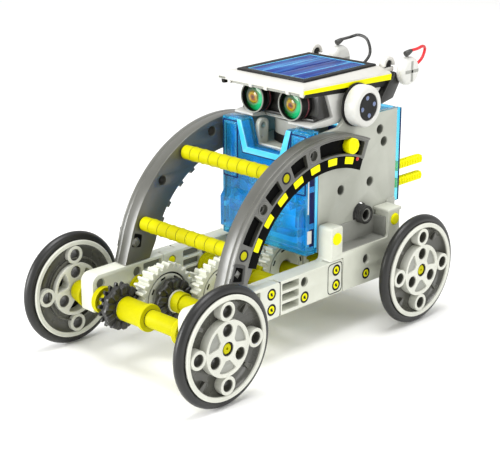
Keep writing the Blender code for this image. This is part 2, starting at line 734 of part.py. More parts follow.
def make_roof():
    """A shallow frustum: bottom rim, edge rim and top plateau, front first."""
    rings = [
        (25.0, 7.3, 109.6, 66.0, 107.3),
        (25.0, 7.3, 112.4, 66.0, 110.6),
        (20.8, 12.9, 113.0, 62.4, 113.5),
    ]
    work = bmesh.new()
    bmesh.ops.create_cube(work, size=2)
    edges = [e for e in work.edges if e.verts[0].co.z != e.verts[1].co.z]
    bmesh.ops.subdivide_edges(work, edges=edges, cuts=1)
    for vert in work.verts:
        half, front, front_z, back, back_z = rings[round(vert.co.z) + 1]
        is_front = vert.co.y < 0
        x = math.copysign(half, vert.co.x)
        y = (front if is_front else back) - HEAD_Y
        z = (front_z if is_front else back_z) - HEAD_Z
        vert.co = Vector((x, y, z)) * MM
    mesh = bpy.data.meshes.new("roof")
    work.to_mesh(mesh)
    work.free()
    add_object("roof", mesh, WHITE, (0, 0, 0), FACING_Z, AXIS_HEAD)


def make_head_shells():
    shell = [(24.5, 108.6), (27.2, 102.0), (29.4, 96.0), (16.5, 94.9), (15.0, 94.2), (15.6, 93.2),
             (24.0, 92.6), (32.0, 92.9), (43.0, 94.7), (48.0, 95.0), (56.6, 98.4), (61.6, 104.4),
             (64.0, 107.0)]
    plate("head_housing", [on_head(shell)], (-HEAD_HALF, HEAD_HALF), WHITE, AXIS_HEAD)
    visor = [(21.0, 108.6), (24.1, 108.4), (26.8, 101.9), (28.9, 96.3), (21.0, 95.6)]
    plate("visor", [on_head(visor)], (-VISOR_HALF, VISOR_HALF), DARK, AXIS_HEAD)
    panel = [(13.8, 113.35), (61.5, 113.8), (61.5, 115.0), (13.8, 114.5)]
    plate("solar_panel", [on_head(panel)], (-CELL_HALF, CELL_HALF), CELL, AXIS_HEAD)


def make_rear_arm():
    """A folded bracket behind the head, with a slot for the right terminal."""
    bracket = [(65.0, 106.8), (66.5, 107.0), (69.0, 110.6), (72.0, 105.2), (67.7, 98.8),
               (59.3, 97.2), (58.4, 98.4), (63.2, 104.6)]
    arm = plate("rear_arm", [on_head(bracket)], (-ARM_HALF, ARM_HALF), DARK, AXIS_HEAD)
    low, high = [Vector(corner) - Vector((0, HEAD_Y, HEAD_Z)) for corner in ARM_SLOT]
    cut_box(arm, low, high, AXIS_HEAD)


def make_eyes():
    z = EYE_Z - HEAD_Z
    for side, sign in (("left", 1), ("right", -1)):
        place = (sign * EYE_X, -HEAD_Y, z)
        outline = [(0, 20.7), (6.9, 20.7), (6.9, 15.2), (6.1, 14.4), (5.6, 17.0), (5.6, 18.6),
                   (0, 18.6)]
        turned(f"{side}_eye_barrel", outline, DARK, place, TURN_Y, AXIS_HEAD, 14)
        lens = [(0, 18.2), (5.2, 18.2), (5.2, 16.8), (3.4, 15.7), (0, 15.2)]
        turned(f"{side}_eye_lens", lens, LENS, place, TURN_Y, AXIS_HEAD, 12)


def make_ears():
    for side, turn in (("left", TURN_X), ("right", TURN_MINUS_X)):
        outline = [(0, EAR_OUT), (EAR_R - 3.0, EAR_OUT), (EAR_R - 0.9, EAR_OUT - 0.4),
                   (EAR_R, EAR_OUT - 1.6), (EAR_R, EAR_IN), (SPINDLE_R, EAR_IN),
                   (SPINDLE_R, SPINDLE_IN), (0, SPINDLE_IN)]
        turned(f"{side}_ear", outline, WHITE, (0, 0, 0), turn, AXIS_HEAD, 16)


def boot_base(x):
    """The middle of the boot's wide end, just clear of the terminal's rim."""
    return Vector((x + 2.1, TERMINAL_Y - 2.6, TERMINAL_Z + 7.8))


def make_terminals():
    """Round plugs at the back of the head, each with a boot for its wire."""
    for side, x in TERMINALS:
        place = (x, TERMINAL_Y - HEAD_Y, TERMINAL_Z - HEAD_Z)
        outline = [(0, 4.2), (4.6, 4.2), (6.1, 3.2), (6.5, 1.8), (6.5, 0), (0, 0)]
        turned(f"{side}_terminal", outline, WHITE, place, TURN_X, AXIS_HEAD, 14)
        start = boot_base(x) - Vector((0, HEAD_Y, HEAD_Z))
        outline = [(0, BOOT_LENGTH), (BOOT_TIP_R, BOOT_LENGTH), (BOOT_R, 0), (0, 0)]
        lean = BOOT_LEAN.to_track_quat("Z", "Y").to_euler()
        turned(f"{side}_boot", outline, DARK, start, lean, AXIS_HEAD, 10)


def smooth_route(points, spacing):
    """Evenly spaced points on a smooth curve through the route's own points."""
    knots = [2 * points[0] - points[1], *points, 2 * points[-1] - points[-2]]
    dense = []
    for before, start, end, after in zip(knots, knots[1:], knots[2:], knots[3:]):
        for k in range(24):
            t = k / 24
            pull = (end - before) * t
            bend = (2 * before - 5 * start + 4 * end - after) * t**2
            turn = (3 * start - before - 3 * end + after) * t**3
            dense.append(0.5 * (2 * start + pull + bend + turn))
    dense.append(points[-1])
    length = sum((b - a).length for a, b in zip(dense, dense[1:]))
    count = round(length / spacing)
    result, walked, wanted = [dense[0]], 0.0, length / count
    for a, b in zip(dense, dense[1:]):
        step = (b - a).length
        while wanted <= walked + step and len(result) < count:
            result.append(a.lerp(b, (wanted - walked) / step))
            wanted += length / count
        walked += step
    return result + [dense[-1]]


RED_ROUTE = ((27.8, 80.3, 119.6), (27.6, 84.2, 120.2), (27.2, 86.6, 119.0), (26.4, 87.1, 116.3),
             (25.4, 86.4, 113.5), (24.2, 84.0, 111.2), (23.2, 79.0, 108.4), (22.8, 73.0, 106.8))
BLACK_ROUTE = ((-10.4, 79.5, 120.2), (-7.0, 81.0, 121.4), (-2.8, 81.5, 120.4), (-0.2, 81.0, 117.4),
               (1.5, 79.5, 114.4), (2.0, 77.5, 112.3), (1.4, 74.8, 109.9), (0.8, 72.5, 108.2))


def make_wires():
    """Thin leads that leave the boots, rise in a loop and go back into the rear arm."""
    wires = (("red_wire", RED_ROUTE, RED), ("black_wire", BLACK_ROUTE, BLACK))
    for (name, route, finish), (_, x) in zip(wires, TERMINALS):
        exit_point = boot_base(x) + BOOT_LEAN * (BOOT_LENGTH + GAP)
        knots = [exit_point] + [Vector(knot) for knot in route]
        line = smooth_route(knots, 4 * WIRE_R)
        curve = bpy.data.curves.new(name, "CURVE")
        curve.dimensions = "3D"
        curve.bevel_depth = WIRE_R * MM
        curve.bevel_resolution = 2
        curve.use_fill_caps = True
        spline = curve.splines.new("POLY")
        spline.points.add(len(line) - 1)
        for point, position in zip(spline.points, line):
            local = (position - Vector((0, HEAD_Y, HEAD_Z))) * MM
            point.co = (*local, 1)
        add_object(name, curve, finish, (0, 0, 0), FACING_Z, AXIS_HEAD)


# ---------------------------------------------------------------- assembly
for SIDE, SIGN in (("left", 1), ("right", -1)):
    make_beams(SIDE, SIGN)
    make_rear_bracket(SIDE, SIGN)
    make_arch(SIDE, SIGN)
    make_side_panel(SIDE, SIGN)
make_crossbars()
make_front_cover()
make_rear_cover()
make_tail_rods()
make_inner_body()
make_wheels()
make_axles()
make_idlers()
make_output()
make_roof()
make_head_shells()
make_rear_arm()
make_eyes()
make_ears()
make_terminals()
make_wires()
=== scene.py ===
"""Looks of the solar robot kit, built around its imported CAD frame.
"""

import json
import math

import bmesh
import bpy
from mathutils import Matrix, Vector


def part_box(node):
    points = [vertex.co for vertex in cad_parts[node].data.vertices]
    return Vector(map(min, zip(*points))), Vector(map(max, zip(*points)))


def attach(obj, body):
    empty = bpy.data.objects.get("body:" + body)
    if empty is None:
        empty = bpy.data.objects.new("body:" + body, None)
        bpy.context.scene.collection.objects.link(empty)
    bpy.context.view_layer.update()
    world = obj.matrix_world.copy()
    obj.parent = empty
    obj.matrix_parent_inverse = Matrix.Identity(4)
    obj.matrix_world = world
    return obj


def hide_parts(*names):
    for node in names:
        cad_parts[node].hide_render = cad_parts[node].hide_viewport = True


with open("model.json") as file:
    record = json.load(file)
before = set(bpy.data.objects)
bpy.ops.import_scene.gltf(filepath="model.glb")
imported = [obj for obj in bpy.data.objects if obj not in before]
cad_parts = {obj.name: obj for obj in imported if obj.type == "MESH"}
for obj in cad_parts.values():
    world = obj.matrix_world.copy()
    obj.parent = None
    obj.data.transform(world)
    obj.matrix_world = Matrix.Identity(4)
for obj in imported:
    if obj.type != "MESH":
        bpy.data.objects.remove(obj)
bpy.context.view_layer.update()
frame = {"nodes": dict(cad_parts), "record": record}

MM = 0.001
TAU = 2 * math.pi
X, Y, Z = range(3)


# ---------------------------------------------------------------- sizes read from the frame
KIT_Y = sum(corner[Y] for axle in ("front_axle", "rear_axle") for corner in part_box(axle)) / 4


def reach(node, axis):
    """A CAD node's lowest and highest place along an axis, in kit millimetres."""
    shift = KIT_Y if axis == Y else 0.0
    low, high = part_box(node)
    return (low[axis] - shift) / MM, (high[axis] - shift) / MM


def middle(node, axis):
    return sum(reach(node, axis)) / 2


AXLE_Y = middle("rear_axle", Y)
AXLE_Z = middle("rear_axle", Z)
PITCH = AXLE_Y / 3
ROW = PITCH / 3
ROWS = (AXLE_Z, AXLE_Z + ROW)
HEAD_Y = 2 * PITCH
FRAME_IN, FRAME_OUT = reach("left_arch", X)
FRAME_MID = (FRAME_IN + FRAME_OUT) / 2
WHEEL_X = middle("front_left_tyre", X)
WHEEL_R = reach("front_left_tyre", Z)[1] - AXLE_Z
BEAM_TOP = reach("left_front_beam", Z)[1]
BODY_OUT = reach("left_side_panel", X)[1]
HEAD_Z = middle("left_ear", Z)
AXIS_Y = {"front_axle_set": -AXLE_Y, "idler_a": -2 * PITCH, "idler_b": -PITCH, "idler_c": 0.0,
          "idler_d": PITCH, "idler_e": 2 * PITCH, "rear_axle_set": AXLE_Y}


# ---------------------------------------------------------------- outlines
def polar(u, v, radius, degrees):
    angle = math.radians(degrees)
    return (u + radius * math.cos(angle), v + radius * math.sin(angle))


def arc(u, v, radius, start, end, count):
    return [polar(u, v, radius, start + (end - start) * k / count) for k in range(count + 1)]


def circle(u, v, radius, count=28):
    return arc(u, v, radius, 0, 360, count)[:-1]


def rectangle(u0, v0, u1, v1):
    return [(u0, v0), (u1, v0), (u1, v1), (u0, v1)]


def rounded(points, radius, count=3):
    """The polygon with each corner turned into a short curve."""
    result = []
    for index, corner in enumerate(points):
        here = Vector(corner)
        before = Vector(points[index - 1]) - here
        after = Vector(points[(index + 1) % len(points)]) - here
        cut = min(radius, before.length * 0.45, after.length * 0.45)
        start = here + before.normalized() * cut
        end = here + after.normalized() * cut
        for k in range(count + 1):
            t = k / count
            point = start * (1 - t) ** 2 + here * 2 * t * (1 - t) + end * t**2
            result.append((point.x, point.y))
    return result


def band(u, v, inner, outer, start, end, count):
    """A stretch of a ring, as one closed outline."""
    return arc(u, v, outer, start, end, count) + arc(u, v, inner, end, start, count)


def signed_area(loop):
    return sum(a[0] * b[1] - b[0] * a[1] for a, b in zip(loop, loop[1:] + loop[:1])) / 2


# ---------------------------------------------------------------- shapes, as meshes in kit millimetres
def mesh_of(item):
    """An object's evaluated mesh in a new shape, with the object and its data removed."""
    depsgraph = bpy.context.evaluated_depsgraph_get()
    mesh = bpy.data.meshes.new_from_object(item.evaluated_get(depsgraph))
    data = item.data
    kind = bpy.data.curves if item.type == "CURVE" else bpy.data.meshes
    bpy.data.objects.remove(item)
    kind.remove(data)
    shape = bmesh.new()
    shape.from_mesh(mesh)
    bpy.data.meshes.remove(mesh)
    return shape


def linked(name, data):
    item = bpy.data.objects.new(name, data)
    bpy.context.scene.collection.objects.link(item)
    return item


ACROSS = {
    "X": Matrix(((0, 0, 1, 0), (1, 0, 0, 0), (0, 1, 0, 0), (0, 0, 0, 1))),
    "Y": Matrix(((1, 0, 0, 0), (0, 0, -1, 0), (0, 1, 0, 0), (0, 0, 0, 1))),
    "Z": Matrix.Identity(4),
}


def plate(loops, low, high, across="X", rim=0.25):
    """A flat outline, its first loop, with the others as holes, thickened from low to high along one axis.

    Its rims are rounded by the rim radius. The outline is (y, z), (x, z) or (x, y).
    """
    curve = bpy.data.curves.new("plate", "CURVE")
    curve.dimensions = "2D"
    curve.fill_mode = "BOTH"
    curve.extrude = (high - low) / 2 - rim
    curve.bevel_depth = rim
    curve.bevel_resolution = 1
    curve.offset = -rim
    for index, loop in enumerate(loops):
        runs_left = signed_area(loop) > 0
        points = loop if runs_left == (index == 0) else loop[::-1]
        spline = curve.splines.new("POLY")
        spline.points.add(len(points) - 1)
        for point, (u, v) in zip(spline.points, points):
            point.co = (u, v, 0, 1)
        spline.use_cyclic_u = True
    shape = mesh_of(linked("plate", curve))
    bmesh.ops.remove_doubles(shape, verts=shape.verts, dist=1e-4)
    offset = (low + high) / 2 * (-1 if across == "Y" else 1)
    bmesh.ops.translate(shape, vec=(0, 0, offset), verts=shape.verts)
    bmesh.ops.transform(shape, matrix=ACROSS[across], verts=shape.verts)
    return shape


def lathe(profile, steps=48, closed=False):
    """A solid turned about the X axis from (radius, x) points."""
    shape = bmesh.new()
    rings = []
    for radius, x in profile:
        if radius < 1e-6:
            rings.append([shape.verts.new((x, 0, 0))] * steps)
            continue
        turns = [TAU * k / steps for k in range(steps)]
        rings.append([shape.verts.new((x, radius * math.cos(t), radius * math.sin(t))) for t in turns])
    pairs = list(zip(rings, rings[1:]))
    if closed:
        pairs.append((rings[-1], rings[0]))
    for first, second in pairs:
        for k in range(steps):
            after = (k + 1) % steps
            corners = dict.fromkeys((first[k], first[after], second[after], second[k]))
            shape.faces.new(list(corners))
    return shape


def eased(points, radius=0.25):
    """A turned profile with its inner corners eased, ends kept."""
    result = [points[0]]
    for before, here, after in zip(points, points[1:], points[2:]):
        corner = Vector(here)
        back = Vector(before) - corner
        on = Vector(after) - corner
        cut = min(radius, back.length * 0.45, on.length * 0.45)
        start = corner + back.normalized() * cut
        end = corner + on.normalized() * cut
        soft = (start + end + corner * 2) / 4
        result += [tuple(start), tuple(soft), tuple(end)]
    return result + [points[-1]]


def tube(inner, outer, low, high, rim=0.25, steps=40):
    """A tube along X with rounded lips, or a rod where inner is 0."""
    if inner <= 0:
        return lathe(eased([(0, high), (outer, high), (outer, low), (0, low)], rim), steps)
    corners = [(outer, high), (outer, low), (inner, low), (inner, high)]
    loop = eased([corners[-1], *corners, corners[0]], rim)[1:-1]
    return lathe(loop, steps, closed=True)


def block(low, high, rim=0.3, segments=2):
    """A box between two corners with rounded edges."""
    shape = bmesh.new()
    bmesh.ops.create_cube(shape, size=1)
    size = Vector(high) - Vector(low)
    bmesh.ops.scale(shape, vec=size, verts=shape.verts)
    bmesh.ops.translate(shape, vec=(Vector(high) + Vector(low)) / 2, verts=shape.verts)
    if rim:
        soften(shape, rim, segments)
    return shape


def soften(shape, rim, segments=2):
    bmesh.ops.bevel(shape, geom=list(shape.edges), offset=rim, segments=segments, affect="EDGES",
                    profile=0.5, clamp_overlap=True)


def moved(shape, at=(0, 0, 0), turn=None):
    """The shape turned about the origin by a matrix or (angle, axis) and then moved, as a copy."""
    copy = shape.copy()
    if turn is not None:
        matrix = Matrix.Rotation(math.radians(turn[0]), 4, turn[1]) if isinstance(turn, tuple) else turn
        bmesh.ops.transform(copy, matrix=matrix, verts=copy.verts)
    bmesh.ops.translate(copy, vec=at, verts=copy.verts)
    return copy


def mirrored(shape, sign):
    """The shape itself for the left side, or its mirror image for the right."""
    if sign > 0:
        return shape
    copy = shape.copy()
    bmesh.ops.scale(copy, vec=(-1, 1, 1), verts=copy.verts)
    return copy


def sided(shapes, sign):
    return [mirrored(shape, sign) for shape in shapes]


def both_sides(*shapes):
    """Each shape and its mirror image."""
    return sided(shapes, 1) + sided(shapes, -1)


def flipped(points):
    """An outline's points mirrored to the other side, last one first, so that they carry it on."""
    return [(-x, z) for x, z in reversed(points)]


def at_places(places, *shapes):
    """A copy of each shape at each (y, z) place."""
    return [moved(shape, (0, y, z)) for shape in shapes for y, z in places]


def fanned(shape, angles):
    """Copies of a shape turned about the X axis."""
    return [moved(shape, turn=(angle, "X")) for angle in angles]


def as_object(shape):
    mesh = bpy.data.meshes.new("tool")
    bmesh.ops.recalc_face_normals(shape, faces=shape.faces)
    shape.to_mesh(mesh)
    return linked("tool", mesh)


def carved(shape, *cutters, operation="DIFFERENCE"):
    """The shape with the cutters' volumes taken out of it, or with operation UNION joined to it."""
    item = as_object(shape)
    tools = [as_object(cutter) for cutter in cutters]
    for tool in tools:
        cut = item.modifiers.new("cut", "BOOLEAN")
        cut.operation = operation
        cut.object = tool
        cut.solver = "EXACT"
    result = mesh_of(item)
    for tool in tools:
        data = tool.data
        bpy.data.objects.remove(tool)
        bpy.data.meshes.remove(data)
    return result


SHARP_ANGLE = math.radians(34)


def piece(name, shapes, look, body, stands_for=()):
    """One named piece made of shapes, with its finish, riding on a body in place of CAD nodes."""
    mesh = bpy.data.meshes.new(name)
    whole = bmesh.new()
    for shape in shapes:
        bmesh.ops.recalc_face_normals(shape, faces=shape.faces)
        shape.to_mesh(mesh)
        whole.from_mesh(mesh)
    bmesh.ops.scale(whole, vec=(MM, MM, MM), verts=whole.verts)
    bmesh.ops.translate(whole, vec=(0, KIT_Y, 0), verts=whole.verts)
    whole.to_mesh(mesh)
    whole.free()
    mesh.shade_smooth()
    mesh.set_sharp_from_angle(angle=SHARP_ANGLE)
    item = linked(name, mesh)
    return dress(item, look, body, stands_for)


def dress(item, look, body, stands_for=()):
    item.data.materials.clear()
    item.data.materials.append(look)
    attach(item, body)
    if stands_for:
        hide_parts(*stands_for)
    return item


# ---------------------------------------------------------------- looks
def srgb(text):
    """A #RRGGBB colour as linear RGBA."""
    levels = [int(text[k:k + 2], 16) / 255 for k in (1, 3, 5)]
    return (*[v / 12.92 if v <= 0.04045 else ((v + 0.055) / 1.055) ** 2.4 for v in levels], 1.0)


MIX_FIRST, MIX_SECOND, MIX_RESULT = 6, 7, 2  # the colour sockets of Blender's Mix node


class Graph:
    """A material's node graph, with short calls for the nodes that the looks share."""

    def __init__(self, name, slot):
        self.material = bpy.data.materials.new(name)
        self.material.use_nodes = True
        self.material["slot"] = slot
        self.tree = self.material.node_tree
        self.shader = self.tree.nodes["Principled BSDF"]
        self.place = self.node("ShaderNodeTexCoord").outputs["Object"]

    def node(self, kind, **settings):
        made = self.tree.nodes.new(kind)
        for key, value in settings.items():
            setattr(made, key, value)
        return made

    def link(self, source, target):
        self.tree.links.new(source, target)

    def feed(self, socket, value):
        """Links another node's output to the socket, or sets it to a constant."""
        if isinstance(value, bpy.types.NodeSocket):
            self.link(value, socket)
        else:
            socket.default_value = value

    def noise(self, scale, detail=3.0, stretch=(1, 1, 1)):
        mapping = self.node("ShaderNodeMapping")
        mapping.inputs["Scale"].default_value = stretch
        self.link(self.place, mapping.inputs["Vector"])
        made = self.node("ShaderNodeTexNoise")
        made.inputs["Scale"].default_value = scale
        made.inputs["Detail"].default_value = detail
        self.link(mapping.outputs["Vector"], made.inputs["Vector"])
        return made.outputs["Fac"]

    def ramp(self, source, stops):
        made = self.node("ShaderNodeValToRGB")
        elements = made.color_ramp.elements
        while len(elements) < len(stops):
            elements.new(0.5)
        for element, (position, colour) in zip(elements, stops):
            element.position = position
            element.color = colour
        self.link(source, made.inputs["Fac"])
        return made.outputs["Color"]

    def spread(self, source, low, high):
        """The source's 0..1 range laid over low..high."""
        made = self.node("ShaderNodeMapRange")
        made.inputs["To Min"].default_value = low
        made.inputs["To Max"].default_value = high
        self.link(source, made.inputs["Value"])
        return made.outputs["Result"]

    def mix(self, factor, first, second, blend="MIX"):
        made = self.node("ShaderNodeMix", data_type="RGBA", blend_type=blend)
        for key, value in (("Factor", factor), (MIX_FIRST, first), (MIX_SECOND, second)):
            self.feed(made.inputs[key], value)
        return made.outputs[MIX_RESULT]

    def math(self, operation, first, second=0.0):
        made = self.node("ShaderNodeMath", operation=operation)
        for socket, value in zip(made.inputs, (first, second)):
            self.feed(socket, value)
        return made.outputs["Value"]

    def edges(self, width=0.5):
        """1 along sharp edges and 0 on open faces."""
        bevel = self.node("ShaderNodeBevel", samples=4)
        bevel.inputs["Radius"].default_value = width * MM
        geometry = self.node("ShaderNodeNewGeometry")
        dot = self.node("ShaderNodeVectorMath", operation="DOT_PRODUCT")
        self.link(bevel.outputs["Normal"], dot.inputs[0])
        self.link(geometry.outputs["Normal"], dot.inputs[1])
        made = self.node("ShaderNodeMapRange")
        made.inputs["From Min"].default_value = 0.995
        made.inputs["From Max"].default_value = 0.9
        self.link(dot.outputs["Value"], made.inputs["Value"])
        return made.outputs["Result"]

    def gloss(self, source, low, high):
        """Roughness that wanders between two values."""
        self.link(self.spread(source, low, high), self.shader.inputs["Roughness"])

    def bump(self, height, depth, strength):
        made = self.node("ShaderNodeBump")
        made.inputs["Distance"].default_value = depth * MM
        made.inputs["Strength"].default_value = strength
        self.link(height, made.inputs["Height"])
        self.link(made.outputs["Normal"], self.shader.inputs["Normal"])

    def set(self, **values):
        for key, value in values.items():
            self.shader.inputs[key.replace("_", " ")].default_value = value

    def paint(self, colour):
        self.link(colour, self.shader.inputs["Base Color"])


def moulded(name, slot, colour, shade, worn, roughness, grain=0.05, coat=0.0, shine=0.5):
    """Moulded plastic: cloudy colour, paler rubbed edges, a fine sparked grain and uneven gloss."""
    graph = Graph(name, slot)
    clouds = graph.noise(45, 4.0)
    tone = graph.ramp(clouds, ((0.34, srgb(shade)), (0.62, srgb(colour))))
    rubbed = graph.math("MULTIPLY", graph.edges(), graph.spread(graph.noise(300), 0.1, 0.9))
    graph.paint(graph.mix(rubbed, tone, srgb(worn)))
    graph.gloss(graph.noise(160), roughness - 0.08, roughness + 0.08)
    graph.bump(graph.noise(2600, 2.0), grain, 0.35)
    graph.set(Coat_Weight=coat, Coat_Roughness=roughness - 0.1, IOR=1.48, Specular_IOR_Level=shine)
    return graph.material


def clear_blue():
    """Tinted clear plastic: see-through, glossy, with faint flow marks and paler edges, a painted highlight.
    """
    graph = Graph("clear_blue", "clear_blue")
    flow = graph.noise(60, 2.0, (1, 1, 0.3))
    tone = graph.ramp(flow, ((0.38, srgb("#34C4FF")), (0.62, srgb("#74E6FF"))))
    # Painted highlight: paler cyan along the edges.
    graph.paint(graph.mix(graph.edges(0.8), tone, srgb("#90F0FF")))
    graph.gloss(flow, 0.05, 0.16)
    graph.bump(graph.noise(240, 2.0), 0.05, 0.2)
    graph.set(Transmission_Weight=0.8, IOR=1.15, Coat_Weight=0.3, Coat_Roughness=0.04)
    return graph.material


def blue_works():
    """Deep blue mouldings behind the clear cover."""
    graph = Graph("blue_works", "clear_blue")
    patches = graph.noise(220, 1.0)
    graph.paint(graph.ramp(patches, ((0.4, srgb("#010C5C")), (0.5, srgb("#0434A0")),
                                     (0.62, srgb("#0C78D8")))))
    graph.gloss(graph.noise(120), 0.2, 0.4)
    graph.bump(graph.noise(900, 2.0), 0.08, 0.4)
    return graph.material


def rubber():
    """Matt tyre rubber with a dusty bloom and fine lay lines."""
    graph = Graph("tyre_rubber", "black_rubber")
    bloom = graph.noise(70, 4.0)
    tone = graph.ramp(bloom, ((0.35, srgb("#0C0C0B")), (0.7, srgb("#1E1E1C"))))
    graph.paint(graph.mix(graph.edges(0.4), tone, srgb("#3A3A36")))
    graph.gloss(graph.noise(400), 0.3, 0.44)
    graph.bump(graph.noise(3200, 3.0), 0.08, 0.4)
    graph.set(Sheen_Weight=0.06, Sheen_Roughness=0.4)
    return graph.material


def solar_cell():
    """Streaky blue cell under glass: bright bands along its length, thin bus bars across."""
    graph = Graph("solar_cell", "solar_cell")
    streaks = graph.noise(60, 5.0, (3.2, 0.35, 1))
    tone = graph.ramp(streaks, ((0.32, srgb("#010C48")), (0.46, srgb("#032C84")), (0.56, srgb("#08549C")),
                                (0.7, srgb("#409CCC"))))
    fine = graph.ramp(graph.noise(150, 3.0, (7, 0.5, 1)), ((0.42, srgb("#0844C0")), (0.6, srgb("#FFFFFF"))))
    graph.paint(graph.mix(0.5, tone, fine, "MULTIPLY"))
    graph.gloss(graph.noise(200), 0.3, 0.42)
    graph.bump(streaks, 0.05, 0.1)
    graph.set(Coat_Weight=0.05, Coat_Roughness=0.2, Specular_IOR_Level=0.12)
    return graph.material


def eye_glass(centre):
    """A round lens: painted shade to painted highlight across it, dark green to bright teal, with a swirled
    amber heart and a dark pupil.
    """
    graph = Graph("eye_glass_" + ("left" if centre[X] > 0 else "right"), "eye_lens")
    offset = graph.node("ShaderNodeVectorMath", operation="SUBTRACT")
    offset.inputs[1].default_value = [v * MM for v in centre]
    graph.link(graph.place, offset.inputs[0])
    parts = graph.node("ShaderNodeSeparateXYZ")
    graph.link(offset.outputs["Vector"], parts.inputs["Vector"])
    across = parts.outputs["X"]
    up = parts.outputs["Z"]
    # Painted light and shade: the glass runs from dark green to bright teal across the lens.
    slope = graph.math("SUBTRACT", across, graph.math("MULTIPLY", up, 0.4))
    lean = graph.spread(slope, 0.0, 1.0)
    lean.node.inputs["From Min"].default_value = -5.5 * MM
    lean.node.inputs["From Max"].default_value = 5.5 * MM
    glass = graph.ramp(lean, ((0.14, srgb("#021408")), (0.46, srgb("#034C1A")), (0.7, srgb("#067A3C")),
                              (0.92, srgb("#0CB474"))))
    near = graph.node("ShaderNodeVectorMath", operation="LENGTH")
    graph.link(offset.outputs["Vector"], near.inputs[0])
    heart = graph.spread(near.outputs["Value"], 0.0, 1.0)
    heart.node.inputs["From Min"].default_value = 0.0
    heart.node.inputs["From Max"].default_value = 4.6 * MM
    warm = graph.math("ADD", heart, graph.spread(graph.noise(380, 3.0), -0.26, 0.26))
    amber = graph.ramp(warm, ((0.06, srgb("#141004")), (0.18, srgb("#5A3404")), (0.3, srgb("#8A5004")),
                              (0.4, srgb("#A08C14")), (0.52, srgb("#8A6A08")), (0.72, srgb("#0C3C10"))))
    mask = graph.ramp(warm, ((0.5, (1, 1, 1, 1)), (0.78, (0, 0, 0, 1))))
    graph.paint(graph.mix(mask, glass, amber))
    graph.gloss(graph.noise(300), 0.08, 0.16)
    graph.set(Coat_Weight=0.35, Coat_Roughness=0.04, IOR=1.45, Specular_IOR_Level=0.4)
    return graph.material


def brushed_steel():
    """Brushed metal: fine lines along the motor can."""
    graph = Graph("motor_steel", "motor_steel")
    lines = graph.noise(900, 2.0, (0.02, 1, 1))
    graph.paint(graph.ramp(lines, ((0.35, srgb("#8A8C90")), (0.65, srgb("#C4C6CA")))))
    graph.gloss(lines, 0.22, 0.4)
    graph.bump(lines, 0.03, 0.3)
    graph.set(Metallic=1.0)
    return graph.material


LIGHT = moulded("light_plastic", "light_plastic", "#D8DACD", "#CACCBE", "#EEEEE6", 0.42)
# SHADED_PANEL: the light plastic painted darker, painted shade on the side panels, which get less lamp light
# than the frame.
SHADED_PANEL = moulded("panel_painted_shade", "light_plastic", "#B2B4A9", "#A2A499", "#D8D8CE", 0.42)
WHITE = moulded("white_plastic", "white_plastic", "#D6D6D1", "#C8C8C2", "#EAEAE6", 0.3, 0.03, 0.1)
ROOF = moulded("roof_plastic", "white_plastic", "#D2D0CA", "#C6C4BC", "#E2E2DE", 0.32, 0.03, 0.1)
HUB = moulded("hub_plastic", "white_plastic", "#D2D3C8", "#C2C3B7", "#E6E6DC", 0.3, 0.03, 0.1)
# GREY: a grey plastic, also used as painted shade on the side panels' feet and behind the wheels' windows.
GREY = moulded("grey_plastic", "light_plastic", "#9A9B94", "#888982", "#AEAFA8", 0.45)
SHADE = moulded("shaded_plastic", "light_plastic", "#72746B", "#62645B", "#94958C", 0.5)
# DISH_SHADE: the wheel's light plastic painted dark grey, painted shade in the wheel's deep bowl and inside
# its holes.
DISH_SHADE = moulded("dish_painted_shade", "light_plastic", "#4E4E47", "#3C3C36", "#84847C", 0.28, 0.03, 0.3)
YELLOW = moulded("yellow_plastic", "yellow_plastic", "#BEBA00", "#A8A200", "#DCD806", 0.5, 0.03, 0.0, 0.1)
# YELLOW and LIT_YELLOW are one yellow plastic at two brightnesses: LIT_YELLOW carries painted light for
# yellow parts that the lamps light little.
LIT_YELLOW = moulded("yellow_painted_light", "yellow_plastic", "#F6F200", "#ECE600", "#FCFA30", 0.45, 0.03, 0.0, 0.1)
# GROOVE_SHADE: the yellow plastic painted dark, painted shade in the grooves between a crossbar's rings.
GROOVE_SHADE = moulded("yellow_groove_shade", "yellow_plastic", "#6E6A00", "#565200", "#8E8A10", 0.5, 0.03, 0.0, 0.15)
ARCH = moulded("arch_plastic", "dark_plastic", "#4C4C45", "#3E3E38", "#84847A", 0.4, 0.04, 0.6, 0.8)
DARK = moulded("dark_plastic", "dark_plastic", "#262624", "#1A1A18", "#4E4E49", 0.34, 0.06, 0.15)
# BLACK: black parts, and painted shade in gaps, grooves and behind the wheels' windows.
BLACK = moulded("black_plastic", "dark_plastic", "#0C0B0A", "#060605", "#242220", 0.5, 0.06, 0.0, 0.3)
# BAND_AND_PIT_SHADE: near black, for the black band along an arch's inner edge, and painted shade on the
# floors of the arch's pockets and foot recesses.
BAND_AND_PIT_SHADE = moulded("black_band_and_pit_shade", "dark_plastic", "#060605", "#030303", "#141412", 0.8, 0.04, 0.0, 0.1)
ROSE = moulded("rose_ring", "dark_plastic", "#7A2E38", "#5A2028", "#C08890", 0.3, 0.03, 0.3)
SPOT = moulded("ear_spot", "dark_plastic", "#6C7CA4", "#54648C", "#98A4C4", 0.3, 0.03, 0.3)
RED_DOT = moulded("red_mark", "red_insulation", "#D01414", "#A80C0C", "#F04040", 0.35)
RED = moulded("red_insulation", "red_insulation", "#D81420", "#B80E18", "#F05058", 0.34, 0.02, 0.2)
LEAD = moulded("black_insulation", "black_insulation", "#222220", "#181817", "#3A3A38", 0.34, 0.02, 0.2)
BOOT = moulded("boot_rubber", "dark_plastic", "#3A3A38", "#2C2C2A", "#5A5A58", 0.5)
